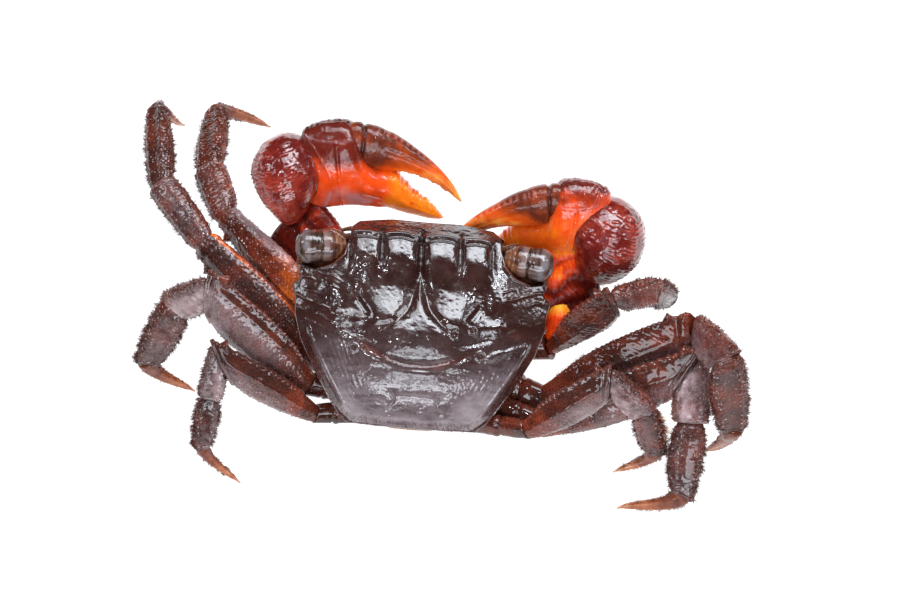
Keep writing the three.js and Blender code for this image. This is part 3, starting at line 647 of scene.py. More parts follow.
def sideRelief(x, a, y, flat):
    # One slanting ridge that is stronger on the right, wavy lines before it and oblique lines behind it.
    right = 0.35 + 0.65 * ease((0.5 - x) / 1.0)
    ridge = strip(a + 0.2 * lumps(flat, 1.2, 25), y + 0.15 * lumps(flat, 0.9, 27),
                  (9.3, 3.5), (14.2, 1.3), 0.4)
    height = right * (0.30 * ridge - 0.12 * strip(a, y, (9.6, 4.4), (13.6, 2.6), 0.6))
    broken = ease(lumps(flat, 1.6, 5) * 1.6 + 0.6)
    wavy = 0.25 * lumps(flat, 1.5, 9)
    foreSide = between(a, 10.9, 16.6, 1.2) * between(y, -6.6, 0.6, 1.2) * broken
    height = height + 0.12 * waves(0.93 * y + 0.36 * a + wavy, 1.35, 7) * foreSide
    rearSide = between(a, 7.6, 17, 3) * between(y, 2.2, 12.6, 1.6)
    height = height + 0.05 * waves(0.894 * a + 0.447 * y + wavy, 0.62, 3) * rearSide * (0.3 + 0.7 * broken)
    height = height + 0.012 * waves(y + 2.5 * wavy, 0.8, 3) * between(y, 4, 12.6, 3) * broken
    grain = 0.05 * grains(flat, 0.5, 35) ** 2 * between(a, 9.5, 17, 2) * between(y, -7, 3, 2)
    return height + grain, foreSide


def backRelief(x, y, edge):
    # The sum of the regions' relief, the wall beside the rear edge, and fine roughness with small pits. Edge
    # is the share of the way out to the margin. Grooves and ridges are hills of the distance from a line.
    middle = 0.25 - 0.03 * y
    a = np.abs(x - middle)
    flat = np.stack([x, y, np.zeros_like(x)], -1)
    front, band = frontRelief(a, y, flat)
    centre, fork = middleRelief(a, y)
    rear, smile = smileRelief(a, y, flat)
    dents, pits = craterRelief(x - middle, y)
    beside, foreSide = sideRelief(x, a, y, flat)
    rearEdge = ease((y + 0.8) / 2.5)
    wall = ease((edge - 0.915) / 0.03) * rearEdge * (1 - 0.8 * ease((y - 9.5) / 2))
    height = front + centre + rear + dents + beside - 0.55 * wall
    height = height + 0.16 * hill(edge, 0.91, 0.008) * rearEdge * ease((12 - y) / 2)
    pitted = grains(flat, 0.7, 31) ** 3 * ease(lumps(flat, 2.5, 3) + 0.7)
    height = height + 0.03 * rough(flat, 1.4, 21) - 0.12 * pitted
    red = 0.8 * smile + 0.8 * pits
    return height, {"groove": fork, "red": red, "wall": wall, "foreSide": foreSide, "band": band}


def backColours(x, y, scale, lost, marks, socket):
    # Tone: brighter in grooves, on the wall and in the eye sockets. Painted sheen: a grey-lilac reflection
    # painted towards the rear and a pale glow painted along its edge, broken into painted reflection streaks
    # that run across.
    flat = np.stack([x, y, np.zeros_like(x)], -1)
    tone = 0.22 + 0.10 * rough(flat, 3.0, 41) + 0.10 * marks["groove"] + 0.55 * marks["red"]
    tone = tone + 0.18 * marks["wall"] + 0.15 * ease((lost - 0.2) / 0.3)
    tone = tone + 0.10 * marks["band"] + 0.10 * marks["foreSide"] + 0.5 * socket
    rear = ease((y - 3.0 + 0.15 * np.abs(x) + 1.2 * lumps(flat, 2.6, 43)) / 8)
    # Painted sheen: grey-lilac reflection painted towards the rear, less on the wall and the red marks.
    bloom = 0.10 * ease((y + 1.5) / 4) + (0.64 + 0.2 * ease((np.abs(x) - 3) / 5)) * rear
    bloom = bloom * (1 - marks["wall"]) * (1 - np.clip(marks["red"], 0, 1)) * (lost == 0)
    # A pale glow painted along the rear edge.
    bloom = bloom + 0.35 * ease((scale - 0.84) / 0.1) * ease((y - 7) / 4) * (lost < 0.5)
    # Painted reflection streaks that run across.
    paintedStreaks = lumps(flat * [0.22, 1, 1], 0.32, 47) + 0.8 * lumps(flat * [0.5, 1, 1], 0.5, 49)
    bloom = bloom * (1 + 0.34 * paintedStreaks + 0.3 * rough(flat, 2.4, 51))
    return tone, np.clip(0.66 * bloom, 0, 0.85)


def makeBack():
    # Rings of one outline, each scaled towards the middle: the top carries the height and the relief, then
    # the surface rolls over the margin, goes down the wall and closes underneath.
    outline = closedOutline(back["outline"], back["columns"], back["soften"])
    margin = np.array(back["margin"])
    scale = np.concatenate([0.012 + 0.976 * np.linspace(0, 1, back["rings"]) ** 0.86, margin[:, 0]])[:, None]
    lost = np.concatenate([np.zeros(back["rings"]), margin[:, 1]])[:, None]
    x, y = scale * outline[None, :, 0], scale * outline[None, :, 1]
    relief, marks = backRelief(x, y, scale)
    nearSocket = ease((-6.9 - y) / 0.5) * ease((np.abs(x) - 10.2) / 0.5)
    top = backHeight(x, y) + relief * ease((1.0 - scale) / 0.02 + 0.35)
    top = top + 0.3 * hill(scale, 0.975, 0.014) * nearSocket
    z = np.where(lost > 0, top[back["rings"] - 1] * (1 - lost), top)
    grid = fromBody(np.stack([x, y, z], -1))
    tone, bloom = backColours(x, y, scale, lost, marks, ease((scale - 0.955) / 0.03) * nearSocket)
    makeSurface("crab_back", grid, "shell", ["carapace"], tone=tone, bloom=bloom)
    hairy = (grid, between(scale, 0.925, 0.992, 0.01) * ease((y - 0.5) / 3), 420, 2, 0.55, 0.06, 0.5)
    growBristles("back_edge_bristles", [hairy], "bristle", "flank", 71)


makeBack()
print("back made")

# The flanks' half outline seen from above, the rings of their surface (place, scale, share of the depth), the
# tube round each eye socket (x, y, z) and its radius at the same places.
flank = {
    "rows": 96, "columns": 360, "soften": 0.5, "rimRows": 72, "rimColumns": 48,
    "outline": [(0, -13.9), (8.6, -13.5), (10.6, -12.9), (13.6, -12.6), (15.8, -10.8), (16.4, -8.2),
                (16.1, -4.0), (15.6, -1.0), (13.2, 4.8), (11.6, 7.6), (9.0, 11.0), (7.6, 12.0), (0, 12.3)],
    "rings": [(0, 0.02, 0), (0.2, 0.6, 0), (0.32, 0.985, 0), (0.38, 1.006, 0.06), (0.46, 1.0, 0.35),
              (0.56, 0.965, 0.8), (0.66, 0.9, 1), (0.8, 0.6, 1), (1, 0.02, 1)],
    "rimPath": [(10.4, -12.0, -0.3), (10.9, -12.4, -0.2), (12.6, -12.5, 0.1), (14.4, -11.9, 0.3),
                (15.7, -10.3, 0.3), (16.3, -8.6, 0.2), (16.4, -7.8, 0.1)],
    "rimRadius": [0.3, 0.65, 0.95, 1.05, 0.95, 0.7, 0.3],
}


def cheekDepth(x, y):  # lower face of the flanks: shallow behind, deep beside the mouth
    return -0.9 - 2.1 * ease((-6.5 - y) / 2.5) * ease((8 - np.abs(x)) / 2)


def makeFlanks():
    # Scaled rings of the outline from under the back, round the side and in along the lower face.
    outline = closedOutline(flank["outline"], flank["columns"], flank["soften"])
    places, scales, shares = np.array(flank["rings"]).T
    t = np.linspace(0, 1, flank["rows"])
    scale = np.interp(t, places, scales)[:, None]
    share = np.interp(t, places, shares)[:, None]
    x, y = scale * outline[None, :, 0], scale * outline[None, :, 1]
    grid = np.stack([x, y, -0.1 + (cheekDepth(x, y) + 0.1) * share], -1)
    side = hill(scale, 1.0, 0.06) * (share > 0.02)
    grid = grid + outward(grid) * (0.07 * rough(grid, 0.7, 51) * side)[..., None]
    makeSurface("crab_flanks", fromBody(grid), "flank", ["flanks"],
                tone=0.45 + 0.25 * rough(grid, 1.2, 53), bloom=0.0)


def makeSocketRim(label, side):  # a tube of beaded rings along the path round the socket
    t = rowsFor(flank["rimRows"])
    places = np.linspace(0, 1, len(flank["rimPath"]))
    path = curve(np.column_stack([places, flank["rimPath"]]), t) * [side, 1, 1]
    radius = curve(np.column_stack([places, flank["rimRadius"]]), t)[:, 0] * rounded(t, 0.06, 0.06)
    lie = unit(np.gradient(path, axis=0))
    wide = unit(np.cross(lie, [0, 0, 1.0]))
    grid = sleeve(path, wide, np.cross(wide, lie), radius, radius, flank["rimColumns"], 1)
    bead = waves(np.arange(len(t)), 3.0, 2)[:, None]
    grid = grid + outward(grid) * (0.05 * bead + 0.04 * rough(grid, 0.6, 57))[..., None]
    makeSurface(f"socket_rim_{label}", fromBody(grid), "flank", tone=0.55 + 0.2 * bead, bloom=0.0)


# The underside. Sternum and mouth rows are (y, half width, lowest); a groove is (y, how much it curves). The
# tail flap's path is (share, y, z, half width, half thickness), and its steps are where one plate ends.
under = {
    "sternumRings": (110, 140), "tailRings": (150, 96), "mouthRings": (80, 96),
    "sternum": [(-5.4, 5.4, -5.8), (-4.4, 6.3, -6.4), (-1.5, 7.8, -6.6), (1.5, 8.6, -6.6), (5.0, 8.6, -6.6),
                (8.6, 7.4, -6.2), (10.3, 5.4, -5.0), (11.1, 3.8, -3.8)],
    "grooves": [(-3.2, 3), (-0.8, 4), (2.0, 4), (4.8, 3), (7.4, 2)],
    "tailPath": [(0, 11.4, -1.2, 3.2, 0.3), (0.08, 11.95, -2.3, 3.6, 0.42), (0.2, 11.9, -3.8, 3.6, 0.45),
                 (0.3, 11.2, -5.2, 3.3, 0.45), (0.4, 10.1, -6.2, 3.1, 0.45), (0.52, 8.2, -7.0, 2.9, 0.45),
                 (0.68, 5.6, -7.4, 2.4, 0.42), (0.88, 1.6, -7.4, 1.7, 0.4), (1.0, -0.7, -7.3, 0.9, 0.3)],
    "tailSteps": [0.1, 0.24, 0.38, 0.53, 0.68, 0.84],
    "mouth": [(-13.0, 2.4, -3.5), (-12.6, 2.7, -4.6), (-10.8, 2.9, -6.2), (-8.6, 2.7, -6.7),
              (-6.4, 2.2, -6.4)],
}


def ringsAcross(rows, count, columns, power):
    # Rings that stand across the y axis, from rows of (y, half width, lowest), up to just under the flanks.
    rows = np.array(rows)
    t = rowsFor(count)
    y = rows[0, 0] + (rows[-1, 0] - rows[0, 0]) * t
    sizes = curve(np.column_stack([rows, cheekDepth(0.0, rows[:, 0]) - 0.3]), y)
    swell = rounded(t, 0.05, 0.05)
    middle = np.stack([0 * y, y, (sizes[:, 1] + sizes[:, 2]) / 2], -1)
    half = (sizes[:, 2] - sizes[:, 1]) / 2 * swell
    ones = np.ones((count, 1))
    return sleeve(middle, ones * [1.0, 0, 0], ones * [0, 0, 1.0], sizes[:, 0] * swell, half, columns, power)


def makeSternum():  # rings along the body, its plates marked by curved cross grooves and a long middle groove
    grid = ringsAcross(under["sternum"], *under["sternumRings"], 0.7)
    x, y, z = np.moveaxis(grid, -1, 0)
    below = ease(-(z + 3.6) / 1.2)
    cross = sum(hill(y, at + 0.06 * np.abs(x) * bend, 0.2) for at, bend in under["grooves"])
    height = -0.35 * cross * below - 0.3 * hill(x, 0, 0.3) * below + 0.04 * rough(grid, 0.9, 61)
    grid = grid + outward(grid) * height[..., None]
    makeSurface("crab_sternum", fromBody(grid), "underside", ["sternum"],
                tone=0.5 - 0.35 * cross + 0.2 * rough(grid, 1.5, 62), bloom=0.0)


def makeTailFlap():  # rings square to a path that comes down behind and lies forward, stepped at each plate
    rows, columns = under["tailRings"]
    t = rowsFor(rows)
    keys = curve(under["tailPath"], t)
    middle = np.stack([0 * t, keys[:, 0], keys[:, 1]], -1)
    lie = unit(np.gradient(middle, axis=0))
    across = np.ones((len(t), 1)) * [1.0, 0, 0]
    swell = rounded(t, 0.03, 0.06)
    grid = sleeve(middle, across, np.cross(across, lie), keys[:, 2] * swell, keys[:, 3] * swell,
                  columns, 0.8)
    step = sum(hill(t, at, 0.008) for at in under["tailSteps"])[:, None]
    grid = grid + outward(grid) * (-0.22 * step + 0.03 * rough(grid, 0.8, 65))[..., None]
    makeSurface("crab_tail_flap", fromBody(grid), "underside", ["abdomen"],
                tone=0.45 - 0.3 * step + 0.2 * rough(grid, 1.2, 66), bloom=0.0)


def makeMouthPlate(label, side):  # rings along the body, with a gaping inner edge, a seam and a ridge
    grid = ringsAcross(under["mouth"], *under["mouthRings"], 0.6)
    x, y, z = np.moveaxis(grid, -1, 0)
    places, widths, _ = np.array(under["mouth"]).T
    width = np.interp(y, places, widths)
    below = ease(-(z + 3.6) / 1.0)
    seam = hill(y, -10.4, 0.16)
    ridge = strip(x, y, (-1.6, -12.2), (1.5, -7.2), 0.3)
    height = (0.25 * ridge - 0.3 * seam) * below + 0.03 * rough(grid, 0.6, 71)
    grid = grid + outward(grid) * height[..., None]
    grid = grid * [side, 1, 1] + (0.15 + width)[..., None] * [side, 0, 0]
    makeSurface(f"mouth_plate_{label}_shell", fromBody(grid), "flank", [f"mouth_plate_{label}"],
                tone=0.5 + 0.35 * ridge - 0.3 * seam, bloom=0.0)


sides = {"left": 1, "right": -1}

makeFlanks()
for label, side in sides.items():
    makeSocketRim(label, side)
makeSternum()
makeTailFlap()
for label, side in sides.items():
    makeMouthPlate(label, side)
print("underside made")

# One eye and one feeler on the left side, by (share of the length, share of the radius) for the stalk and the
# cornea, and by (share, x, y, z, radius) for the feeler.
eye = {
    "columns": 96, "stalkRows": 110, "corneaRows": 90, "feelerRings": (80, 24),
    "radius": 2.25, "root": (10.7, -10.6, 3.6), "tip": (17.3, -9.9, 4.0),
    "stalk": [(-0.04, 0.02), (-0.02, 0.3), (0.03, 0.5), (0.1, 0.66), (0.18, 0.82), (0.27, 0.91), (0.38, 0.95),
              (0.46, 0.91), (0.51, 0.82), (0.6, 0.72), (0.66, 0.3), (0.67, 0.02)],
    "cornea": [(0.46, 0.02), (0.465, 0.5), (0.48, 0.82), (0.52, 0.92), (0.6, 0.985), (0.70, 1.01),
               (0.78, 0.99), (0.87, 0.88), (0.94, 0.68), (0.985, 0.4), (1.0, 0.16), (1.003, 0.01)],
    "feeler": [(0, 9.2, -13.8, -1.5, 0.42), (0.25, 9.9, -14.1, -1.9, 0.34), (0.5, 10.8, -14.0, -2.3, 0.26),
               (0.75, 11.8, -13.7, -2.6, 0.2), (1, 12.8, -13.4, -2.9, 0.14)],
}


def eyeRings(keys, count, root, reach, upward):
    # Rings along the eye's line, from keys of (place, radius); gives the grid and each ring's place.
    t = np.linspace(0, 1, count)
    s = keys[0][0] + (keys[-1][0] - keys[0][0]) * (0.5 - 0.5 * np.cos(np.pi * t))
    radius = curve(keys, s)[:, 0] * eye["radius"]
    ones = np.ones((count, 1))
    across = np.cross(unit(reach), upward)
    grid = sleeve(root + reach * s[:, None], ones * across, ones * upward, radius, radius, eye["columns"], 1)
    return grid, s[:, None]


def makeEye(label, side):
    # Stalk: rings with bands and grooves, its upper side painted paler as sheen. Cornea: rings over the
    # stalk's end, darker at its rim, its upper side painted paler as a highlight, with shallow grooves
    # painted darker as dark bands that break the highlight.
    root, tip = (np.array(eye[key]) * [side, 1, 1] for key in ("root", "tip"))
    reach = tip - root
    lie = unit(reach)
    upward = unit(np.array([0, 0, 1.0]) - lie * lie[2])
    grid, s = eyeRings(eye["stalk"], eye["stalkRows"], root, reach, upward)
    grooves = sum(hill(s, at, 0.012) for at in (0.06, 0.13, 0.2))
    swell = 0.05 * hill(s, 0.28, 0.06) - 0.06 * grooves + 0.015 * rough(grid, 0.5, 81)
    grid = grid + outward(grid) * swell[..., None]
    bands = 0.3 * hill(s, 0.09, 0.03) + 0.2 * hill(s, 0.17, 0.03) + 0.12 * hill(s, 0.42, 0.05)
    # Painted sheen: the upper side towards the cornea is painted paler grey.
    above = ease(0.2 + unit(grid - (root + reach * 0.4)) @ upward)
    bloom = 0.6 * ease((s - 0.26) / 0.12) * above * (0.5 + 0.5 * ease(rough(grid, 1.2, 84) + 0.5))
    makeSurface(f"eyestalk_{label}_shell", fromBody(grid), "stalk", [f"eyestalk_{label}"],
                tone=0.5 + bands + 0.3 * rough(grid, 0.9, 82), bloom=bloom)
    grid, s = eyeRings(eye["cornea"], eye["corneaRows"], root, reach, upward)
    rise = np.clip((grid - root) @ upward, -3, 3)  # the cornea reaches further back above than below
    grid = grid - lie * (0.35 * rise / eye["radius"] * hill(s, 0.5, 0.12))[..., None]
    high = unit(grid - (root + reach * 0.7)) @ upward
    rim = hill(s, 0.93, 0.05) + 0.8 * ease((0.545 - s) / 0.03)
    bars = sum(hill(s, at, 0.013) for at in (0.60, 0.69)) * (0.6 + 0.4 * lumps(grid, 1.5, 87))
    swell = 0.03 * rough(grid, 1.2, 85) * between(s, 0.46, 0.95, 0.1) - 0.025 * bars
    grid = grid + outward(grid) * swell[..., None]
    # The upper side is painted paler as a highlight, and the bars are painted darker as dark bands that break
    # it.
    tone = (0.20 + 0.24 * ease(0.5 + 0.9 * high) + 0.45 * ease((s - 0.68) / 0.1)) * (1 - 0.75 * rim)
    makeSurface(f"cornea_{label}", fromBody(grid), "cornea", [f"eye_{label}"],
                tone=tone - 0.35 * bars + 0.35 * rough(grid, 0.8, 83))


def makeFeeler(label, side):  # a thin tapering tube, swollen at each joint
    rows, columns = eye["feelerRings"]
    t = rowsFor(rows)
    keys = curve(eye["feeler"], t)
    middle = keys[:, :3] * [side, 1, 1]
    lie = unit(np.gradient(middle, axis=0))
    wide = unit(np.cross(lie, [0, 0, 1.0]))
    joints = waves(t, 1 / 9, 2)
    radius = keys[:, 3] * rounded(t, 0.05, 0.05) * (1 + 0.10 * joints)
    grid = sleeve(middle, wide, np.cross(wide, lie), radius, radius, columns, 1)
    makeSurface(f"feeler_{label}_shell", fromBody(grid), "flank", [f"feeler_{label}"],
                tone=0.6 + 0.3 * joints[:, None], bloom=0.0)


for label, side in sides.items():
    makeEye(label, side)
    makeFeeler(label, side)
print("eyes made")

# The walking legs from front to rear: where each leaves the body, and how thick its hip piece is. The gap is
# between one piece and the next.
legRoots = [(9.2, -0.2, -4.2), (9.6, 3.8, -4.3), (9.0, 7.4, -4.1), (6.8, 10.5, -3.8)]
hipRadius = [1.85, 1.75, 1.7, 1.4]
gap = 0.3

# The pose of each leg: the far ends of its pieces, the way its broad side faces, the thigh's width, how red
# it is, how much mauve-grey sheen is painted on it as a reflection, how glossy it is, how far the thigh thins
# to its edges (slope) and narrows to its far end (taper) or near end (near), how slender the outer pieces are
# (slim), and where the thigh's ridge runs (crest).
legPoses = {
    "left_1": {"hip": (14.4, -3.4, 9.6), "knee": (27.1, -17.9, 12.0), "ankle": (29.8, -25.8, 10.6),
               "foot": (29.4, -36.9, 6.5), "toe": (22.2, -38.3, 0), "face": (0.3, 0.5, 0.8),
               "width": 6.4, "red": 0.10, "mauveSheen": 0.0, "gloss": 0.1, "slope": 0.4, "taper": 0.36},
    "left_2": {"hip": (14.3, 2.5, 8.8), "knee": (29.9, -13.4, 12.5), "ankle": (36.1, -22.6, 11.8),
               "foot": (37.5, -35.9, 9.2), "toe": (34.4, -38.6, 0), "face": (0.3, 0.5, 0.8),
               "width": 6.0, "red": 0.02, "mauveSheen": 0.1, "gloss": 0.4, "slope": 0.4, "taper": 0.2},
    "left_3": {"hip": (15.6, 5.9, 8.6), "knee": (28.6, -1.9, 20.6), "ankle": (33.1, -2.6, 15.0),
               "foot": (37.4, 1.7, 6.5), "toe": (31.5, 3.1, 0), "face": (0.08, 0.87, 0.48),
               "width": 7.0, "red": 0.0, "mauveSheen": 0.75, "gloss": 0.8, "slope": 0.8, "crest": 0.55},
    "left_4": {"hip": (14.7, 9.8, 7.6), "knee": (27.1, 6.0, 16.5), "ankle": (28.4, 9.4, 12.0),
               "foot": (29.7, 14.0, 6.0), "toe": (24.9, 16.7, 0), "face": (-0.1, 0.79, 0.58),
               "width": 4.6, "red": 0.0, "mauveSheen": 0.65, "gloss": 1.0, "slope": 0.25},
    "right_1": {"hip": (-17.0, 0.3, 8.3), "knee": (-25.3, -1.3, 19.5), "ankle": (-30.7, -4.1, 16.5),
                "foot": (-33.2, -7.1, 8.0), "toe": (-31.9, -10.5, 0), "face": (-0.4, 0.72, 0.55),
                "width": 6.5, "red": 0.08, "mauveSheen": 0.12, "gloss": 0.6,
                "slope": 0.5, "near": 0.45, "slim": 0.8},
    "right_2": {"hip": (-16.2, 7.4, 7.0), "knee": (-36.3, 0.8, 14.0), "ankle": (-39.7, 7.3, 18.7),
                "foot": (-41.1, 12.4, 8.3), "toe": (-37.9, 12.0, 0), "face": (-0.13, 0.75, 0.65),
                "width": 7.5, "red": 0.05, "mauveSheen": 0.35, "gloss": 0.75, "slope": 0.5},
    "right_3": {"hip": (-16.2, 10.7, 6.0), "knee": (-35.6, 6.1, 12.9), "ankle": (-35.4, 12.4, 10.0),
                "foot": (-34.2, 20.6, 4.9), "toe": (-26.0, 20.4, 0), "face": (-0.05, 0.75, 0.66),
                "width": 6.8, "red": 0.04, "mauveSheen": 0.65, "gloss": 0.9, "slope": 0.35},
    "right_4": {"hip": (-13.8, 12.3, 8.0), "knee": (-24.7, 9.2, 16.3), "ankle": (-29.2, 11.9, 12.9),
                "foot": (-30.9, 14.8, 6.3), "toe": (-25.6, 15.1, 0), "face": (0.14, 0.92, 0.37),
                "width": 5.6, "red": 0.0, "mauveSheen": 0.7, "gloss": 1.0, "slope": 0.65},
}
plainLeg = {"taper": 0.0, "near": 0.0, "slim": 1.0, "crest": 0.22}

# Each piece of a leg: rows and columns, width as a share of the thigh's, thickness, keel, its shape in
# shares of the length, half width and half thickness, and its bristles: clumps on the outer edge, on the
# inner edge and on the broad faces, and their length.
legParts = {
    "hip": {"rows": 40, "columns": 64, "keel": 0.0, "bristles": (0, 0, 20, 0.4),
            "shape": [(0, 0.9, 0.9), (0.4, 1, 1), (0.8, 0.94, 0.9), (1, 0.9, 0.84)]},
    "thigh": {"rows": 150, "columns": 110, "width": 1.0, "thick": 2.8, "bristles": (44, 24, 60, 0.40),
              "shape": [(0, 0.52, 0.66), (0.06, 0.6, 0.76), (0.14, 0.7, 0.86), (0.3, 0.9, 1), (0.55, 1, 1),
                        (0.8, 0.95, 0.92), (0.93, 0.86, 0.84), (1, 0.78, 0.8)]},
    "ankle": {"rows": 80, "columns": 90, "width": 0.72, "thick": 2.9, "keel": 0.2,
              "bristles": (60, 32, 90, 0.62),
              "shape": [(0, 0.74, 0.7), (0.08, 0.84, 0.8), (0.2, 0.92, 0.9), (0.5, 0.98, 1), (0.84, 1, 0.97),
                        (1, 0.9, 0.86)]},
    "foot": {"rows": 110, "columns": 90, "width": 0.67, "thick": 2.7, "keel": 0.2,
             "bristles": (104, 86, 200, 0.78),
             "shape": [(0, 0.8, 0.76), (0.08, 0.9, 0.88), (0.2, 0.96, 0.96), (0.45, 1, 1), (0.82, 0.86, 0.84),
                       (1, 0.68, 0.66)]},
    "toe": {"rows": 120, "columns": 56, "width": 0.16, "bristles": (34, 34, 50, 0.42),
            "shape": [(0, 1.3), (0.08, 1.2), (0.2, 0.94), (0.4, 0.72), (0.6, 0.54), (0.8, 0.34), (1, 0.1)]},
}


def limbGrid(start, end, before, after, face, flip, size):
    # Rings along a piece of limb. Near each end they lean into the plane of the joint. The near end is
    # rounded and reaches into the piece before it, and the far end folds in as a shallow socket.
    width, thickness, keel, keys, rows, columns = size
    lie = unit(end - start)
    length = np.linalg.norm(end - start)
    thick = unit(face - lie * (face @ lie))
    wide = np.cross(lie, thick) * flip
    plugEnd = -0.07
    t = np.concatenate([np.linspace(plugEnd, 0.06, 12)[:-1], np.linspace(0.06, 1, rows), np.full(6, 1.0)])
    sunk = np.concatenate([np.zeros(rows + 11), [0.0, 0.08, 0.25, 0.4, 0.5, 0.5]])
    shrink = np.concatenate([np.ones(rows + 11), [0.97, 0.9, 0.78, 0.6, 0.3, 0.04]])
    sizes = curve(keys, np.clip(t, 0, 1))
    swell = np.sqrt(1 - (1 - np.clip((t - plugEnd) / -plugEnd, 0, 1)) ** 2) * shrink
    along = (gap / 2 + (length - gap) * t - sunk)[:, None]
    middle = start + lie * along
    ones = np.ones((len(t), 1))
    grid = sleeve(middle, ones * wide, ones * thick, sizes[:, 0] * width / 2 * swell + 0.01,
                  sizes[:, 1] * thickness / 2 * swell + 0.01, columns, 0.76)
    edge = np.cos(ringAngles(columns))[None]
    offset = grid - middle[:, None]
    thinner = keel * ease((edge - 0.05) / 0.95) + 0.5 * min(keel, 0.35) * ease((-edge - 0.5) / 0.5)
    offset = offset - thick * ((offset @ thick) * thinner)[..., None]
    lean = 0
    for away, plane in ((along - gap / 2, unit(before + lie)), (length - gap / 2 - along, unit(after + lie))):
        lean = lean + (1 - ease(away / (0.45 * length))) * (offset @ plane) / (lie @ plane)
    grid = middle[:, None] + offset - lie * lean[..., None]
    return grid, np.clip(t, 0, 1)[:, None], edge, along


def limbInside(t):  # 0 in the joints, 1 between them
    return ease((t - 0.005) / 0.03) * ease((0.998 - t) / 0.004)


def limbRelief(part, grid, t, edge, along, wide, pose, seed):
    # Thigh: oblique lines, beads and one tooth on the upper edge, granules, a crest, a groove before the
    # knee. Outer pieces: two keels and rough granules. Gives the height, the lines and how smooth the skin
    # is.
    broad = 1 - edge ** 2
    if part == "hip":
        return 0.10 * hill(t, 0.55, 0.04) - 0.2 * hill(t, 0.62, 0.02), 0 * broad, 0.5
    if part == "thigh":
        wavy = along + 0.5 * edge * wide + 0.35 * lumps(grid, 1.6, seed + 3)
        lines = waves(wavy, 0.62, 4) * broad * ease(lumps(grid, 0.9, seed + 7) * 1.5 + 0.5)
        beads = hill(edge, 1, 0.10) * waves(along, 0.72, 2) * ease((t - 0.1) / 0.1)
        tooth = hill(edge, 1, 0.16) * np.clip(1 - np.abs(t - 0.87) / 0.035, 0, 1)
        smooth = pose["gloss"] * ease((edge - pose["crest"] + 0.32) / 0.25)
        height = 0.05 * lines + 0.12 * beads + 0.85 * tooth
        height = height + 0.14 * grains(grid, 0.5, seed + 9) ** 2 * (1 - 0.85 * smooth)
        height = height + 0.18 * hill(t, 0.965, 0.02) - 0.2 * hill(t, 0.925, 0.012) * broad
        ridge = 0.5 * hill(edge, -0.45, 0.12) + hill(edge, pose["crest"] - 0.06, 0.09)
        return height + 0.14 * ridge * ease((t - 0.12) / 0.15) * ease((0.92 - t) / 0.1), lines, smooth
    smooth = 0.9 * pose["gloss"] * between(edge, -0.3, 0.34, 0.3)
    lines = grains(grid, 0.42, seed + 9) * (1 - smooth)
    keels = 0.12 * hill(edge, 0.45, 0.12) + 0.12 * hill(edge, -0.45, 0.12)
    if part == "foot":
        keels = keels - 0.16 * hill(edge, 0, 0.18)
    return keels * limbInside(t) + 0.20 * lines ** 1.5 + 0.12 * hill(t, 0.95, 0.025), lines, smooth


def limbColours(leg, part, grid, t, edge, lines, pose, seed):
    # Tone: redder near the body and at the edges. Painted sheen: a mauve-grey reflection painted on the lower
    # face of the thigh and on the outer pieces, in patches.
    proximal = 1 - ease((t - 0.08) / 0.5)
    tone = 0.33 + pose["red"] + 0.16 * rough(grid, 2.2, seed + 13) + 0.10 * lines
    tone = tone + 0.12 * hill(np.abs(edge), 1, 0.12)
    lower = ease((pose["crest"] - edge) / 0.4)
    inner = 1 - 0.8 * hill(np.abs(edge), 1, 0.3)
    # Painted sheen: a mauve-grey reflection painted on the lower faces of the thigh, ankle and foot, in
    # patches.
    bloom = 0 * tone
    if part == "thigh":
        tone = tone + 0.17 * proximal
        bloom = 0.54 * pose["mauveSheen"] * (0.04 + 0.96 * lower) * (1 - 0.9 * proximal) * (1 - 0.5 * lines)
    elif part == "ankle":
        bloom = (0.12 + 0.95 * pose["mauveSheen"]) * (0.45 + 0.55 * lower) * inner
    elif part == "foot":
        bloom = 0.24 * pose["mauveSheen"] * (0.35 + 0.65 * lower) * inner
    bloom = bloom * (0.6 + 0.4 * ease(rough(grid, 1.3, seed + 15) + 0.5))
    if part in ("ankle", "foot"):
        bloom = bloom * (0.5 + 0.5 * ease(1.5 * lumps(grid, 0.55, seed + 17) + 0.6))
    if (leg, part) == ("left_2", "thigh"):  # a bright red lower edge, brightest at its ends
        tone = tone + hill(edge, -0.90, 0.09) * (0.35 + 0.6 * hill(t, 0.95, 0.14) + 0.6 * hill(t, 0.1, 0.16))
    if (leg, part) == ("left_1", "thigh"):  # orange near the body, greyed at the lower edge
        tone = tone + 0.36 * (1 - ease((t - 0.1) / 0.75))
        # A painted pale sheen along the lower edge.
        bloom = bloom + 0.6 * hill(edge, -1, 0.3) * ease((t - 0.25) / 0.3)
    return tone, bloom


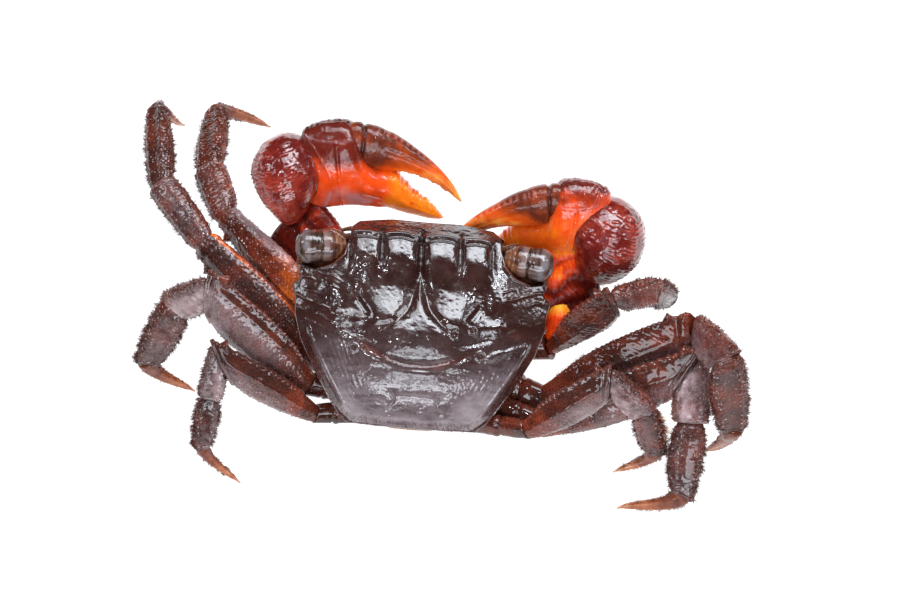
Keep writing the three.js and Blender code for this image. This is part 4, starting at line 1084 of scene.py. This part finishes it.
def makeLimb(leg, place, part, stops, ways, face, pose, seed):
    # One piece of a leg from one joint to the next, with its relief, its colours, its painted sheen and its
    # pale granule tips painted as glints.
    plan = legParts[part]
    lie = ways[place]
    if part == "hip":
        radius = hipRadius[int(leg[-1]) - 1]
        wide, thick, keel = 2 * radius, 1.8 * radius, plan["keel"]
    else:
        wide, thick = plan["width"] * pose["width"], plan["thick"]
        wide, keel = (wide, pose["slope"]) if part == "thigh" else (wide * pose["slim"], plan["keel"])
    keys = np.array(plan["shape"], float)
    if part == "thigh":
        keys[:, 1] *= 1 - pose["taper"] * ease((keys[:, 0] - 0.2) / 0.8)
        keys[:, 1] *= 1 - pose["near"] * (1 - ease(keys[:, 0] / 0.7))
    before = ways[max(place - 1, 0)]
    after = unit(ways[4] + [0, 0, -0.3]) if part == "foot" else ways[place + 1]
    flip = -np.sign(np.cross(lie, face - lie * (face @ lie)) @ (ways[3] + ways[4] - 2 * ways[1]))
    size = (wide, thick, keel, keys, plan["rows"], plan["columns"])
    grid, t, edge, along = limbGrid(stops[place], stops[place + 1], before, after, face, flip, size)
    height, lines, smooth = limbRelief(part, grid, t, edge, along, wide, pose, seed)
    height = (height + 0.05 * rough(grid, 1.1, seed + place)) * limbInside(t)
    grid = grid + outward(grid) * height[..., None]
    tone, bloom = limbColours(leg, part, grid, t, edge, lines, pose, seed)
    # Pale granule tips painted as glints, fewer where painted sheen or gloss is.
    share = {"hip": 0.3, "thigh": 1 - 0.45 * min(1, pose["gloss"] / 0.4), "ankle": 0.8, "foot": 0.9}[part]
    pearl = share * np.clip(1 - 1.6 * bloom, 0, 1) * (1 - 0.9 * smooth) * limbInside(t)
    makeSurface(f"leg_{leg}_{part}_shell", grid, "leg", [f"leg_{leg}_{part}"], tone=tone,
                bloom=np.clip(bloom, 0, 0.9), pearl=pearl)
    return part, grid, t, edge


def makeToe(leg, foot, toe, footWay, face, width, seed):
    # Rings along a cubic curve that lands steeply, with six keels, ending at the floor's level in a flat.
    plan = legParts["toe"]
    lie = unit(toe - foot)
    length = np.linalg.norm(toe - foot)
    landing = unit(lie * [1, 1, 0]) * 0.62 + [0, 0, -0.78]
    pulls = [foot, foot + footWay * 0.16 * length + lie * 0.2 * length, toe - landing * 0.3 * length, toe]
    t = np.concatenate([np.linspace(-0.05, 0.04, 10)[:-1], np.linspace(0.04, 1, plan["rows"])])[:, None]
    shares = ((1 - t) ** 3, 3 * t * (1 - t) ** 2, 3 * t ** 2 * (1 - t), t ** 3)
    middle = sum(share * pull for share, pull in zip(shares, pulls))
    heading = unit(np.gradient(middle, axis=0))
    square = unit(face - heading * (heading @ face)[:, None])
    flip = -np.sign(np.cross(lie, face - lie * (face @ lie)) @ (landing - footWay))
    taper = curve(plan["shape"], np.clip(t[:, 0], 0, 1))[:, 0]
    plug = np.sqrt(1 - (1 - np.clip((t[:, 0] + 0.05) / 0.06, 0, 1)) ** 2)
    radius = np.maximum(0.12, plan["width"] * width * taper) * plug + 0.01
    grid = sleeve(middle, np.cross(heading, square) * flip, square, radius, radius * 0.8,
                  plan["columns"], 0.92)
    angle = ringAngles(plan["columns"])[None]
    keels = sum(hill((angle - at + np.pi) % (2 * np.pi) - np.pi, 0, 0.22) for at in np.arange(6) * np.pi / 3)
    shaft = ease((t - 0.03) / 0.08) * ease((0.9 - t) / 0.1)
    grid = grid + outward(grid) * ((0.10 * keels + 0.05 * grains(grid, 0.35, seed + 21)) * shaft)[..., None]
    grid[..., 2] = np.maximum(grid[..., 2], 0.0)
    tip = ease((t - 0.82) / 0.12)
    tone = 0.28 + 0.45 * ease(t / 0.7) + 0.15 * rough(grid, 0.8, seed + 23) + 0.1 * keels * shaft
    makeSurface(f"leg_{leg}_toe_shell", grid, "toe", [f"leg_{leg}_toe"],
                tone=tone * (1 - tip) + 0.9 * tip, bloom=0.0)
    return "toe", grid, np.clip(t, 0, 1), np.cos(angle)


def makeLegCoat(leg, skins, seed):
    # Bristles on the two edges in clumps of three and singly on the faces, shorter there.
    patches = []
    for part, grid, t, edge in skins:
        outer, inner, flat, long = legParts[part]["bristles"]
        reach = between(t, 0.06, 0.7 if part == "toe" else 0.97, 0.04)
        if outer:
            patches.append((grid, hill(edge, 1, 0.14) * reach, outer, 3, long, 0.08, 0.6))
            patches.append((grid, hill(edge, -1, 0.12) * reach, inner, 3, long * 0.85, 0.08, 0.6))
        patches.append((grid, reach * 0.3, flat, 1, long * 0.55, 0.055, 1.3))
    growBristles(f"leg_{leg}_bristles", patches, "bristle", "leg", seed + 1)


def makeLeg(leg, pose):  # hip, thigh, ankle and foot from joint to joint, the toe, and the bristles on them
    pose = {**plainLeg, **pose}
    label, number = leg.split("_")
    root = fromBody(np.array(legRoots[int(number) - 1]) * [sides[label], 1, 1])
    stops = [root, *(np.array(pose[key], float) for key in ("hip", "knee", "ankle", "foot", "toe"))]
    ways = [unit(b - a) for a, b in zip(stops[:-1], stops[1:])]
    face = unit(np.array(pose["face"], float))
    seed = 90 + 10 * int(number) + (5 if label == "left" else 0)
    skins = [makeLimb(leg, place, part, stops, ways, face, pose, seed)
             for place, part in enumerate(("hip", "thigh", "ankle", "foot"))]
    skins.append(makeToe(leg, stops[4], stops[5], ways[3], face, pose["width"], seed))
    makeLegCoat(leg, skins, seed)
    if leg == "right_4":  # a comb of pale bristles down the outer edge of the foot
        _, grid, t, edge = skins[3]
        comb = (grid, hill(edge, 1, 0.1) * between(t, 0.05, 0.75, 0.05), 22, 2, 1.3, 0.09, 0.3)
        growBristles("leg_right_4_comb", [comb], "paleBristle", "leg", seed + 3)
    print("leg made:", leg)


for leg, pose in legPoses.items():
    makeLeg(leg, pose)

# How each claw stands: its joints and palm, the wrist's radii with its neck and egg shape, how the hand
# turns, leans and its finger lifts in degrees, the height where the palm darkens, its arcs, the arm's half
# width and the glow painted on its inner side, how much lighter the hand is painted to stand in for light
# shining through it, how warm the wrist's rear is, how orange the palm is and how much pale sheen is painted
# in patches on it, how deep the folds.
clawPoses = {
    "left": {"elbow": (17.8, -16.4, 11.8), "wrist": (18.6, -21.2, 17.4), "palm": (14.4, -22.7, 17.0),
             "ball": (17.2, -9.7, 8.5), "radii": (4.8, 5.9, 4.8), "neck": 0.24, "egg": 0.28,
             "turn": 3, "lean": 36, "lift": 0, "dark": 0.6, "arcs": 1, "arm": 4.8, "glow": 0.16,
             "paintedBrightening": -0.03, "warm": 0.16, "orange": 0.30, "sheenPatches": 0.6, "folds": 0.1, "seed": 300},
    "right": {"elbow": (-21.9, -9.0, 11.0), "wrist": (-24.9, -12.3, 16.0), "palm": (-22.9, -15.3, 15.4),
              "ball": (-18.1, -3.0, 9.0), "radii": (4.9, 5.8, 4.8), "neck": 0.3, "egg": 0.1,
              "turn": 3, "lean": 17, "lift": 3, "dark": 3.4, "arcs": 6, "arm": 5.8, "glow": 0.62,
              "paintedBrightening": 0.12, "warm": 0.0, "orange": 0.12, "sheenPatches": 0.2, "folds": 0.22, "seed": 340},
}

# Both claws. Palm rings are (place, top, bottom, half thickness), finger rings (place, rise, half height,
# half thickness) and arm rings (share, share of the width, share of the thickness). Counts: rows, columns.
claw = {
    "counts": {"palm": (210, 180), "finger": (150, 130), "wrist": (160, 190), "arm": (140, 130),
               "ball": (70, 80)},
    "root": (7.2, -4.8, -5.3), "hinge": (7.2, 3.0), "ballAxis": (0.2, -0.97, 0.1),
    "ballRadii": (3.2, 1.8, 1.7),
    "armThick": 2.1, "pastElbow": 1.5,
    "palm": [(-2.6, 3.9, -1.4, 1.2), (-2.3, 4.9, -2.6, 1.9), (-1.4, 5.75, -4.6, 2.7),
             (-0.4, 6.3, -5.75, 3.2), (0.7, 6.6, -5.85, 3.6), (2.0, 6.8, -5.6, 3.85),
             (3.4, 6.85, -5.35, 3.9), (4.3, 6.55, -5.25, 3.85), (5.0, 5.7, -5.15, 3.75),
             (5.6, 4.3, -5.05, 3.6), (6.3, 2.4, -5.0, 3.45), (7.3, 1.2, -4.95, 3.2),
             (8.6, 0.55, -5.15, 2.85), (10.2, 0.0, -5.6, 2.4), (11.2, -0.9, -5.9, 2.1),
             (12.4, -2.3, -6.25, 1.75), (14.2, -3.75, -6.7, 1.3), (15.8, -5.1, -7.0, 0.85),
             (16.8, -6.1, -7.0, 0.45), (17.3, -6.75, -6.95, 0.15)],
    "finger": [(-3.6, 0.6, 2.4, 1.8), (-2.4, 0.75, 3.0, 2.15), (-1.2, 0.6, 3.0, 2.25), (0, 0.3, 3.0, 2.3),
               (0.8, 0.05, 2.95, 2.2), (2.0, -0.2, 2.7, 2.05), (3.3, -0.6, 2.4, 1.85), (5.1, -1.3, 1.85, 1.5),
               (7.5, -2.55, 1.3, 1.1), (9.9, -4.4, 0.8, 0.72), (11.3, -5.85, 0.48, 0.42),
               (12.2, -7.0, 0.2, 0.18), (12.5, -7.4, 0.06, 0.06)],
    "arm": [(0, 0.42, 0.7), (0.14, 0.46, 0.76), (0.3, 0.62, 0.85), (0.5, 0.84, 1), (0.75, 1, 1),
            (0.92, 0.96, 0.9), (1, 0.8, 0.7)],
}


def handRows(keys, count, start, end):  # ring places along the hand, the sizes there and the ends' rounding
    t = rowsFor(count)
    s = keys[0][0] + (keys[-1][0] - keys[0][0]) * t
    return s[:, None], curve(keys, s), rounded(t, start, end)


def palmRelief(label, pose, grid, s, share, rise, inner, fixed):
    # Hills and waves along the palm: a row of beads across it, arcs past the beads, a line along the top,
    # keels at the top and bottom, grains outside, and teeth on the fixed finger.
    seed = pose["seed"]
    height = 0.04 * rough(grid, 1.2, seed)
    beads = hill(s + 0.13 * rise, 3.0, 0.22) * between(rise, -4.2, 4.9, 0.5) * inner
    height = height + 0.42 * beads * (0.3 + 0.7 * waves(rise + 0.1 * lumps(grid, 0.5, seed + 1), 0.55, 1.6))
    pastRim = s - 1.75 + 0.085 * (rise + 1.6) ** 2
    arcs = waves(pastRim - 0.2, 0.42, 2.5) * between(pastRim, 0, 0.42 * pose["arcs"], 0.2) * inner
    arcs = arcs * (0.7 + 0.3 * lumps(grid, 0.8, seed + 3))
    if label == "left":  # there only on the upper half
        arcs = arcs * ease((rise + 0.6) / 1.2)
    upperLine = hill(rise, 4.9 + 0.08 * s, 0.16) * between(s, -0.6, 4.6, 0.4) * inner
    height = height + 0.16 * arcs + 0.08 * upperLine
    height = height - 0.22 * hill(share, 0.30, 0.07) * between(s, 0.5, 8.5, 2) * inner
    height = height + 0.30 * hill(share, 0.10, 0.05) * between(s, -1, 9, 1.5)
    height = height + 0.07 * hill(share, 0.95, 0.05) * between(s, 0, 4.4, 0.6)
    height = height + 0.15 * grains(grid, 0.62, seed + 5) * (1 - inner) * ease((7.2 - s) / 1.2)
    height = height + 0.05 * grains(grid, 0.45, seed + 6) * inner * ease(lumps(grid, 1.8, seed + 7))
    teeth = 0.6 * waves(s, 1.35, 2) + 0.4 * waves(s + 0.4, 0.52, 1.5)
    height = height + 0.34 * hill(share, 1.0, 0.16) * fixed * teeth * ease((16.6 - s) / 1.0)
    height = height + 0.10 * hill(share, 0.45, 0.1) * fixed * inner
    return height, {"arcs": arcs, "upperLine": upperLine, "pastRim": pastRim}


def palmColours(pose, grid, s, share, rise, depth, inner, fixed, marks):
    # Tone: darker at the top and outside, more orange towards the fingers, dark dots on the fixed one.
    # Painted
    # sheen: pale patches below, a grey lower edge and grey at the top outside, painted as reflections, and
    # the arcs, the upper line and the rim painted pale as highlights.
    seed = pose["seed"]
    onPalm = ease((9.4 - s) / 4.4)
    # The hand's painted brightening lightens it all over, standing in for light shining through it.
    tone = 0.62 + pose["paintedBrightening"] + 0.08 * rough(grid, 2.5, seed + 9)
    tone = tone + 0.10 * ease((0.6 - share) / 0.4) * inner
    tone = tone - 0.32 * ease((rise - pose["dark"]) / 3.0) * ease((7.2 - s) / 1.2)
    tone = tone - 0.14 * (1 - inner) * onPalm
    tone = tone + pose["orange"] * ease((s - 7.5) / 3.5) + 0.12 * ease((s - 13) / 3)
    dots = grains(grid, 0.8, seed + 11) ** 5 * ease(lumps(grid, 1.5, seed + 12) * 2)
    dots = dots * fixed * hill(share, 0.7, 0.25)
    tone = tone * (1 - 0.7 * np.clip(dots * 4, 0, 1)) + 0.12 * marks["arcs"]
    # Painted sheen: pale patches, edges, arcs, upper line and rim painted as reflections and highlights.
    sheenPatch = hill(share, 0.2, 0.12) * between(s, 1.2, 8.5, 2.5)
    sheenPatch = sheenPatch * ease(lumps(grid, 1.6, seed + 13) + 0.6) * inner
    bloom = pose["sheenPatches"] * sheenPatch + 0.6 * hill(share, 0.0, 0.07) * between(s, -1.5, 9, 2)
    bloom = bloom + 0.26 * ease((-depth - 0.2) / 1.6) * ease((rise - 1.6) / 5) * onPalm
    bloom = bloom + 0.2 * marks["arcs"] + 0.15 * marks["upperLine"]
    return tone, bloom + 0.6 * hill(marks["pastRim"], 0.1, 0.16) * ease((-rise - 1.6) / 1) * inner


def makePalm(label, pose, start, lie, up, inward):
    # Palm and fixed finger: rings across the palm's length, pulled to their top, bottom and thickness.
    rows, columns = claw["counts"]["palm"]
    s, sizes, swell = handRows(claw["palm"], rows, 0.02, 0.03)
    top, bottom = sizes[:, :1], sizes[:, 1:2]
    ones = np.ones_like(s)
    grid = sleeve(start + lie * s + up * (top + bottom) / 2, ones * up, ones * inward,
                  (sizes[:, 0] - sizes[:, 1]) / 2 * swell + 0.02, sizes[:, 2] * swell + 0.02, columns, 0.95)
    rise, depth = (grid - start) @ up, (grid - start) @ inward
    share = np.clip((rise - bottom) / np.maximum(top - bottom, 0.5), 0, 1)
    inner = ease(depth / 1.2)
    fixed = ease((s - 9.4) / 1.2)
    height, marks = palmRelief(label, pose, grid, s, share, rise, inner, fixed)
    grid = grid + outward(grid) * (height * swell[:, None])[..., None]
    tone, bloom = palmColours(pose, grid, s, share, rise, depth, inner, fixed, marks)
    makeSurface(f"claw_{label}_palm_shell", grid, "palm", [f"claw_{label}_palm"], tone=tone,
                bloom=np.clip(bloom, 0, 0.8))


def makeFinger(label, pose, start, lie, up, inward):
    # Movable finger: rings square to a drooping line from the hinge, a row of bars along its back and teeth.
    seed = pose["seed"]
    rows, columns = claw["counts"]["finger"]
    s, sizes, swell = handRows(claw["finger"], rows, 0.05, 0.03)
    lifted = np.radians(pose["lift"])
    hinge = start + lie * claw["hinge"][0] + up * claw["hinge"][1]
    alongWay = lie * np.cos(lifted) + up * np.sin(lifted)
    upWay = up * np.cos(lifted) - lie * np.sin(lifted)
    middle = hinge + alongWay * s + upWay * sizes[:, :1]
    inwardRows = np.ones_like(s) * inward
    across = unit(np.cross(inwardRows, unit(np.gradient(middle, axis=0))))
    across = across * np.sign(across @ upWay)[:, None]
    grid = sleeve(middle, across, inwardRows, sizes[:, 1] * swell + 0.02, sizes[:, 2] * swell + 0.02,
                  columns, 0.95)
    angle = ringAngles(columns)[None]
    upper, facing = np.cos(angle), np.sin(angle)
    bars = hill(upper, 0.96, 0.06) * (facing > 0) * waves(s, 0.8, 2.5) * between(s, -0.6, 8.6, 0.8)
    height = 0.03 * rough(grid, 1.0, seed + 15) + 0.05 * bars - 0.3 * hill(s + 0.3 * upper, -1.3, 0.2)
    height = height - 0.10 * hill(upper, 0.3, 0.16) * (facing > 0) * between(s, 1.5, 11, 2)
    teeth = hill(upper, -1, 0.14) * (0.6 * waves(s, 1.5, 2) + 0.4 * waves(s + 0.3, 0.55, 1.5))
    height = height + 0.22 * teeth * between(s, 3.6, 11, 1)
    height = height + 0.05 * grains(grid, 0.5, seed + 16) * ease((2 - s) / 3)
    grid = grid + outward(grid) * (height * swell[:, None])[..., None]
    # The hand's painted brightening also moves the orange towards the hinge.
    orange = ease((s - 1.2 + 20 * pose["paintedBrightening"] - 3.6 * upper) / 7)
    tone = 0.28 + 0.46 * orange - 0.2 * hill(s + 0.3 * upper, -1.3, 0.25) + 0.1 * rough(grid, 2.0, seed + 17)
    tone = tone + 0.2 * ease((s - 11) / 1.2) + 0.1 * bars
    # Painted sheen: grey on the upper outer side as a reflection; the bars paler, partly their own colour and
    # partly painted sheen.
    bloom = 0.4 * ease((upper - 0.5) / 0.5) * ease(-facing * 2) * between(s, -4, 7, 3) + 0.2 * bars
    makeSurface(f"claw_{label}_finger_shell", grid, "finger", [f"claw_{label}_finger"], tone=tone,
                bloom=np.clip(bloom, 0, 0.8))


def globe(rows, columns, tip, up, aside, radii=(1, 1, 1)):
    # Ellipsoid by latitude and longitude round the up axis, open by the tip angle at its poles.
    polar = np.linspace(tip, np.pi - tip, rows)[:, None]
    around = 2 * np.pi * np.arange(columns)[None] / columns
    parts = (np.cos(polar), np.sin(polar) * np.cos(around), np.sin(polar) * np.sin(around))
    axes = (up, aside, np.cross(up, aside))
    return sum(axis * (radius * part)[..., None] for axis, radius, part in zip(axes, radii, parts)), around


def makeWrist(label, pose, side, elbow, wrist, palmStart):
    # An ellipsoid with a neck towards the elbow, wrinkled by broken wavy ridges and edged by two rims.
    seed = pose["seed"]
    up = unit(palmStart - wrist)
    way, _ = globe(*claw["counts"]["wrist"], 0.004, up, unit(np.cross(up, [0, 0.3, 1.0])))
    radii = np.array(pose["radii"])
    neck = 1 + pose["neck"] * np.clip(way @ unit(elbow - wrist), 0, 1) ** 4
    grid = way / np.linalg.norm(way / radii, axis=-1, keepdims=True) * neck[..., None]
    grid[..., 0] *= 1 - pose["egg"] * np.clip(grid @ [0, 0.9, -0.44] / 7, 0, 1)
    out = unit(grid / radii ** 2)
    grid = wrist + grid
    stripe = (grid - wrist) @ unit(np.array([side * 0.30, -0.62, 0.7]))
    wavy = 0.34 * lumps(grid, 1.8, seed + 22) + 0.14 * lumps(grid, 0.6, seed + 23)
    towards = way @ up
    rear = ease(0.75 - towards)
    wrinkles = waves(stripe + wavy, 0.52, 2) * ease(lumps(grid, 0.8, seed + 24) * 1.7 + 0.55)
    rims = hill(towards, 0.80, 0.035) + 0.8 * hill(towards, 0.66, 0.03)
    height = 0.12 * rough(grid, 3.0, seed + 21) + 0.05 * grains(grid, 0.4, seed + 25)
    height = height + 0.14 * wrinkles * rear + 0.14 * rims
    grid = grid + out * height[..., None]
    tone = 0.45 + 0.16 * rough(grid, 2.0, seed + 27) + 0.25 * wrinkles * rear + 0.2 * ease(-out[..., 2] - 0.1)
    tone = tone + 0.25 * ease(towards - 0.5) + pose["warm"] * ease((way[..., 1] - 0.1) / 0.6)
    # Paler rims and wrinkle crests are painted highlights, and pale granule tips at the rear are painted
    # glints.
    makeSurface(f"claw_{label}_wrist_shell", grid, "wrist", [f"claw_{label}_wrist"], tone=tone,
                bloom=np.clip(0.04 * wrinkles + 0.12 * rims, 0, 0.6), pearl=0.4 * rear)


def makeArm(label, pose, side, root, elbow):
    # Rings from the body to past the elbow, slender first and then a three-cornered plate with toothed edges.
    seed = pose["seed"]
    lie = unit(elbow - root)
    length = np.linalg.norm(elbow + lie * claw["pastElbow"] - root)
    face = np.array([side * 0.2, 0.45, 0.85])
    thick = unit(face - lie * (face @ lie))
    rows, columns = claw["counts"]["arm"]
    t = rowsFor(rows)
    sizes = curve(claw["arm"], t)
    swell = rounded(t, 0.04, 0.06)
    t = t[:, None]
    ones = np.ones_like(t)
    middle = root + lie * (length * t)
    grid = sleeve(middle, ones * np.cross(lie, thick), ones * thick, pose["arm"] * sizes[:, 0] * swell + 0.02,
                  claw["armThick"] * sizes[:, 1] * swell + 0.02, columns)
    edge = np.cos(ringAngles(columns))[None]
    beads = hill(np.abs(edge), 1, 0.12) * waves(length * t, 0.8, 2) * ease((t - 0.3) / 0.2)
    lines = waves(length * t + 0.9 * lumps(grid, 1.5, seed + 31), 0.7, 4) * (1 - edge ** 2)
    lines = lines * ease((t - 0.4) / 0.2)
    bent = edge + 0.10 * lumps(grid, 2.2, seed + 37) + 0.12 * (t - 0.6)
    folds = sum(hill(bent, at, 0.07) for at in (-0.42, 0.02, 0.44)) * ease((t - 0.35) / 0.2)
    height = 0.05 * rough(grid, 1.2, seed + 30) + 0.10 * beads + 0.03 * lines - pose["folds"] * folds
    grid = grid + outward(grid) * (height * swell[:, None])[..., None]
    aside = side * (grid - middle[:, None])[..., 0]
    # Painted glow: the inner side is painted bright orange as if lit through from below, most towards the
    # body.
    glow = pose["glow"] * ease((1.2 - aside) / 2.4) * (0.75 + 0.25 * ease((0.7 - t) / 0.3))
    tone = 0.28 + glow + 0.12 * rough(grid, 1.8, seed + 33) + 0.1 * lines
    # The folds are painted darker as shade in their creases, and the end past the elbow darker.
    tone = tone - 0.1 * ease((t - 0.8) / 0.15) - 0.18 * folds
    makeSurface(f"claw_{label}_arm_shell", grid, "arm", [f"claw_{label}_arm"], tone=tone, bloom=0.0)


def makeArmBall(label, pose, side):  # the arm's second joint: a swollen ball beside the body, ridged across
    seed = pose["seed"]
    up = unit(np.array(claw["ballAxis"]) * [side, 1, 1])
    aside = unit(np.cross(up, [0, 0, 1.0]))
    out, around = globe(*claw["counts"]["ball"], 0.01, up, aside, claw["ballRadii"])
    grid = np.array(pose["ball"]) + out
    ridges = 0.05 * waves(around, np.pi / 9, 2) + 0.04 * waves(out @ up, 1.1, 3)
    grid = grid + outward(grid) * (0.05 * rough(grid, 0.8, seed + 35) + ridges)[..., None]
    # Painted glow: the ball is painted yellow towards the end of its axis as if lit through, darker where it
    # faces down.
    tone = 0.60 + 0.36 * ease((out @ up + 0.2) / 2.4) + 0.15 * rough(grid, 1.2, seed + 36)
    makeSurface(f"claw_{label}_arm_ball", grid, "arm", tone=tone - 0.3 * ease(-out[..., 2] / 1.5), bloom=0.0)


def makeClaw(label, pose):  # the hand's own axes from its turn and lean, then the five pieces
    side = sides[label]
    root = fromBody(np.array(claw["root"]) * [side, 1, 1])
    elbow, wrist, palmStart = (np.array(pose[key], float) for key in ("elbow", "wrist", "palm"))
    turned, leaned = np.radians(pose["turn"]), np.radians(pose["lean"])
    lie = unit(np.array([-side * np.cos(turned), 0.6 * np.sin(turned), -0.8 * np.sin(turned)]))
    up, inward = np.array([[0, -np.sin(leaned), np.cos(leaned)], [0, np.cos(leaned), np.sin(leaned)]])
    up = unit(up - lie * (up @ lie))
    inward = unit(inward - lie * (inward @ lie))
    makePalm(label, pose, palmStart, lie, up, inward)
    makeFinger(label, pose, palmStart, lie, up, inward)
    makeWrist(label, pose, side, elbow, wrist, palmStart)
    makeArm(label, pose, side, root, elbow)
    makeArmBall(label, pose, side)
    print("claw made:", label)


for label, pose in clawPoses.items():
    makeClaw(label, pose)

# The table's span in metres, how white it is and how much it glows, and how bright the sky is.
stage = {"span": 3.0, "white": 0.3, "glow": 0.95, "sky": 0.04}

# Soft lamps: place and size in metres, power in watts. Two over the front, two over the rear, one at each
# side and two small ones for sparks.
lamps = {
    "front_box": {"place": (-0.13, -0.283, 0.471), "size": (0.34, 0.18), "power": 1.35},
    "front_halo": {"place": (-0.05, -0.285, 0.475), "size": (0.56, 0.28), "power": 3.1},
    "rear_box": {"place": (0.0, 0.486, 0.503), "size": (0.45, 0.20), "power": 2.0},
    "low_box": {"place": (0.0, 0.63, 0.30), "size": (0.9, 0.14), "power": 3.9},
    "left_box": {"place": (0.50, -0.10, 0.35), "size": (0.10, 0.2), "power": 0.6},
    "right_box": {"place": (-0.50, -0.10, 0.35), "size": (0.10, 0.2), "power": 0.6},
    "spot_left": {"place": (0.19, 0.09, 0.52), "size": (0.035, 0.035), "power": 0.5},
    "spot_right": {"place": (-0.24, -0.08, 0.50), "size": (0.035, 0.035), "power": 0.5},
}
lampColour = (0.88, 0.93, 1.0)
lampAim = np.array([0, 0, 0.01])

# The camera looks from behind and above at a point over the back. Scale is millimetres a pixel there, and
# right and up move the aim by pixels.
view = {"elevation": 64.0, "distance": 420.0, "scale": 0.132, "right": 32.0, "up": 21.5, "sensor": 36,
        "pixels": 910, "near": 0.01, "yaw": -2.5, "pitch": -16, "above": 6.5, "middle": 12}


def axesMatrix(across, above, away, place):  # matrix of three axes and a place
    columns = zip(across, above, away, place)
    return Matrix([*columns, [0, 0, 0, 1]])


def makeStage():  # glowing white table under a pale sky
    half = stage["span"] / 2
    mesh = bpy.data.meshes.new("table")
    corners = [(-half, -half, 0), (half, -half, 0), (half, half, 0), (-half, half, 0)]
    mesh.from_pydata(corners, [], [(0, 1, 2, 3)])
    material, _, shader = newShader("white_table")
    setSockets(shader, Base_Color=(*(stage["white"],) * 3, 1), Roughness=1.0, Specular_IOR_Level=0.0,
               Emission_Color=(1, 1, 1, 1), Emission_Strength=stage["glow"])
    mesh.materials.append(material)
    addToScene("table", mesh)
    world = bpy.data.worlds.new("pale_room")
    world.use_nodes = True
    setSockets(world.node_tree.nodes["Background"], Color=(1, 1, 1, 1), Strength=stage["sky"])
    bpy.context.scene.world = world
    bpy.context.scene.view_settings.view_transform = "Standard"


def makeLamps():  # each faces the aim, its long side level
    for name, lamp in lamps.items():
        light = bpy.data.lights.new(name, "AREA")
        light.shape = "RECTANGLE"
        light.size, light.size_y = lamp["size"]
        light.energy = lamp["power"]
        light.color = lampColour
        place = np.array(lamp["place"])
        away = unit(place - lampAim)
        across = unit(np.cross([0, 0, 1.0], away))
        addToScene(name, light).matrix_world = axesMatrix(across, np.cross(away, across), away, place)


def makeCamera():
    # The scale at the aim gives the lens; the aim is a point over the middle of the back.
    e = np.radians(view["elevation"])
    right = np.array([-1.0, 0, 0])
    upward = np.array([0, -np.sin(e), np.cos(e)])
    away = np.array([0, np.cos(e), np.sin(e)])
    aim = turn("Z", view["yaw"]) @ turn("X", view["pitch"]) @ [0, 0, view["above"]] + [0, 0, view["middle"]]
    aim = aim + (right * view["right"] + upward * view["up"]) * view["scale"]
    camera = bpy.data.cameras.new("camera")
    camera.sensor_width = view["sensor"]
    camera.lens = view["distance"] / view["scale"] * view["sensor"] / view["pixels"]
    camera.clip_start = view["near"]
    item = addToScene("camera", camera)
    item.matrix_world = axesMatrix(right, upward, away, (aim + away * view["distance"] + shift) * metre)
    bpy.context.scene.camera = item


makeStage()
makeLamps()
makeCamera()
print("stage made")
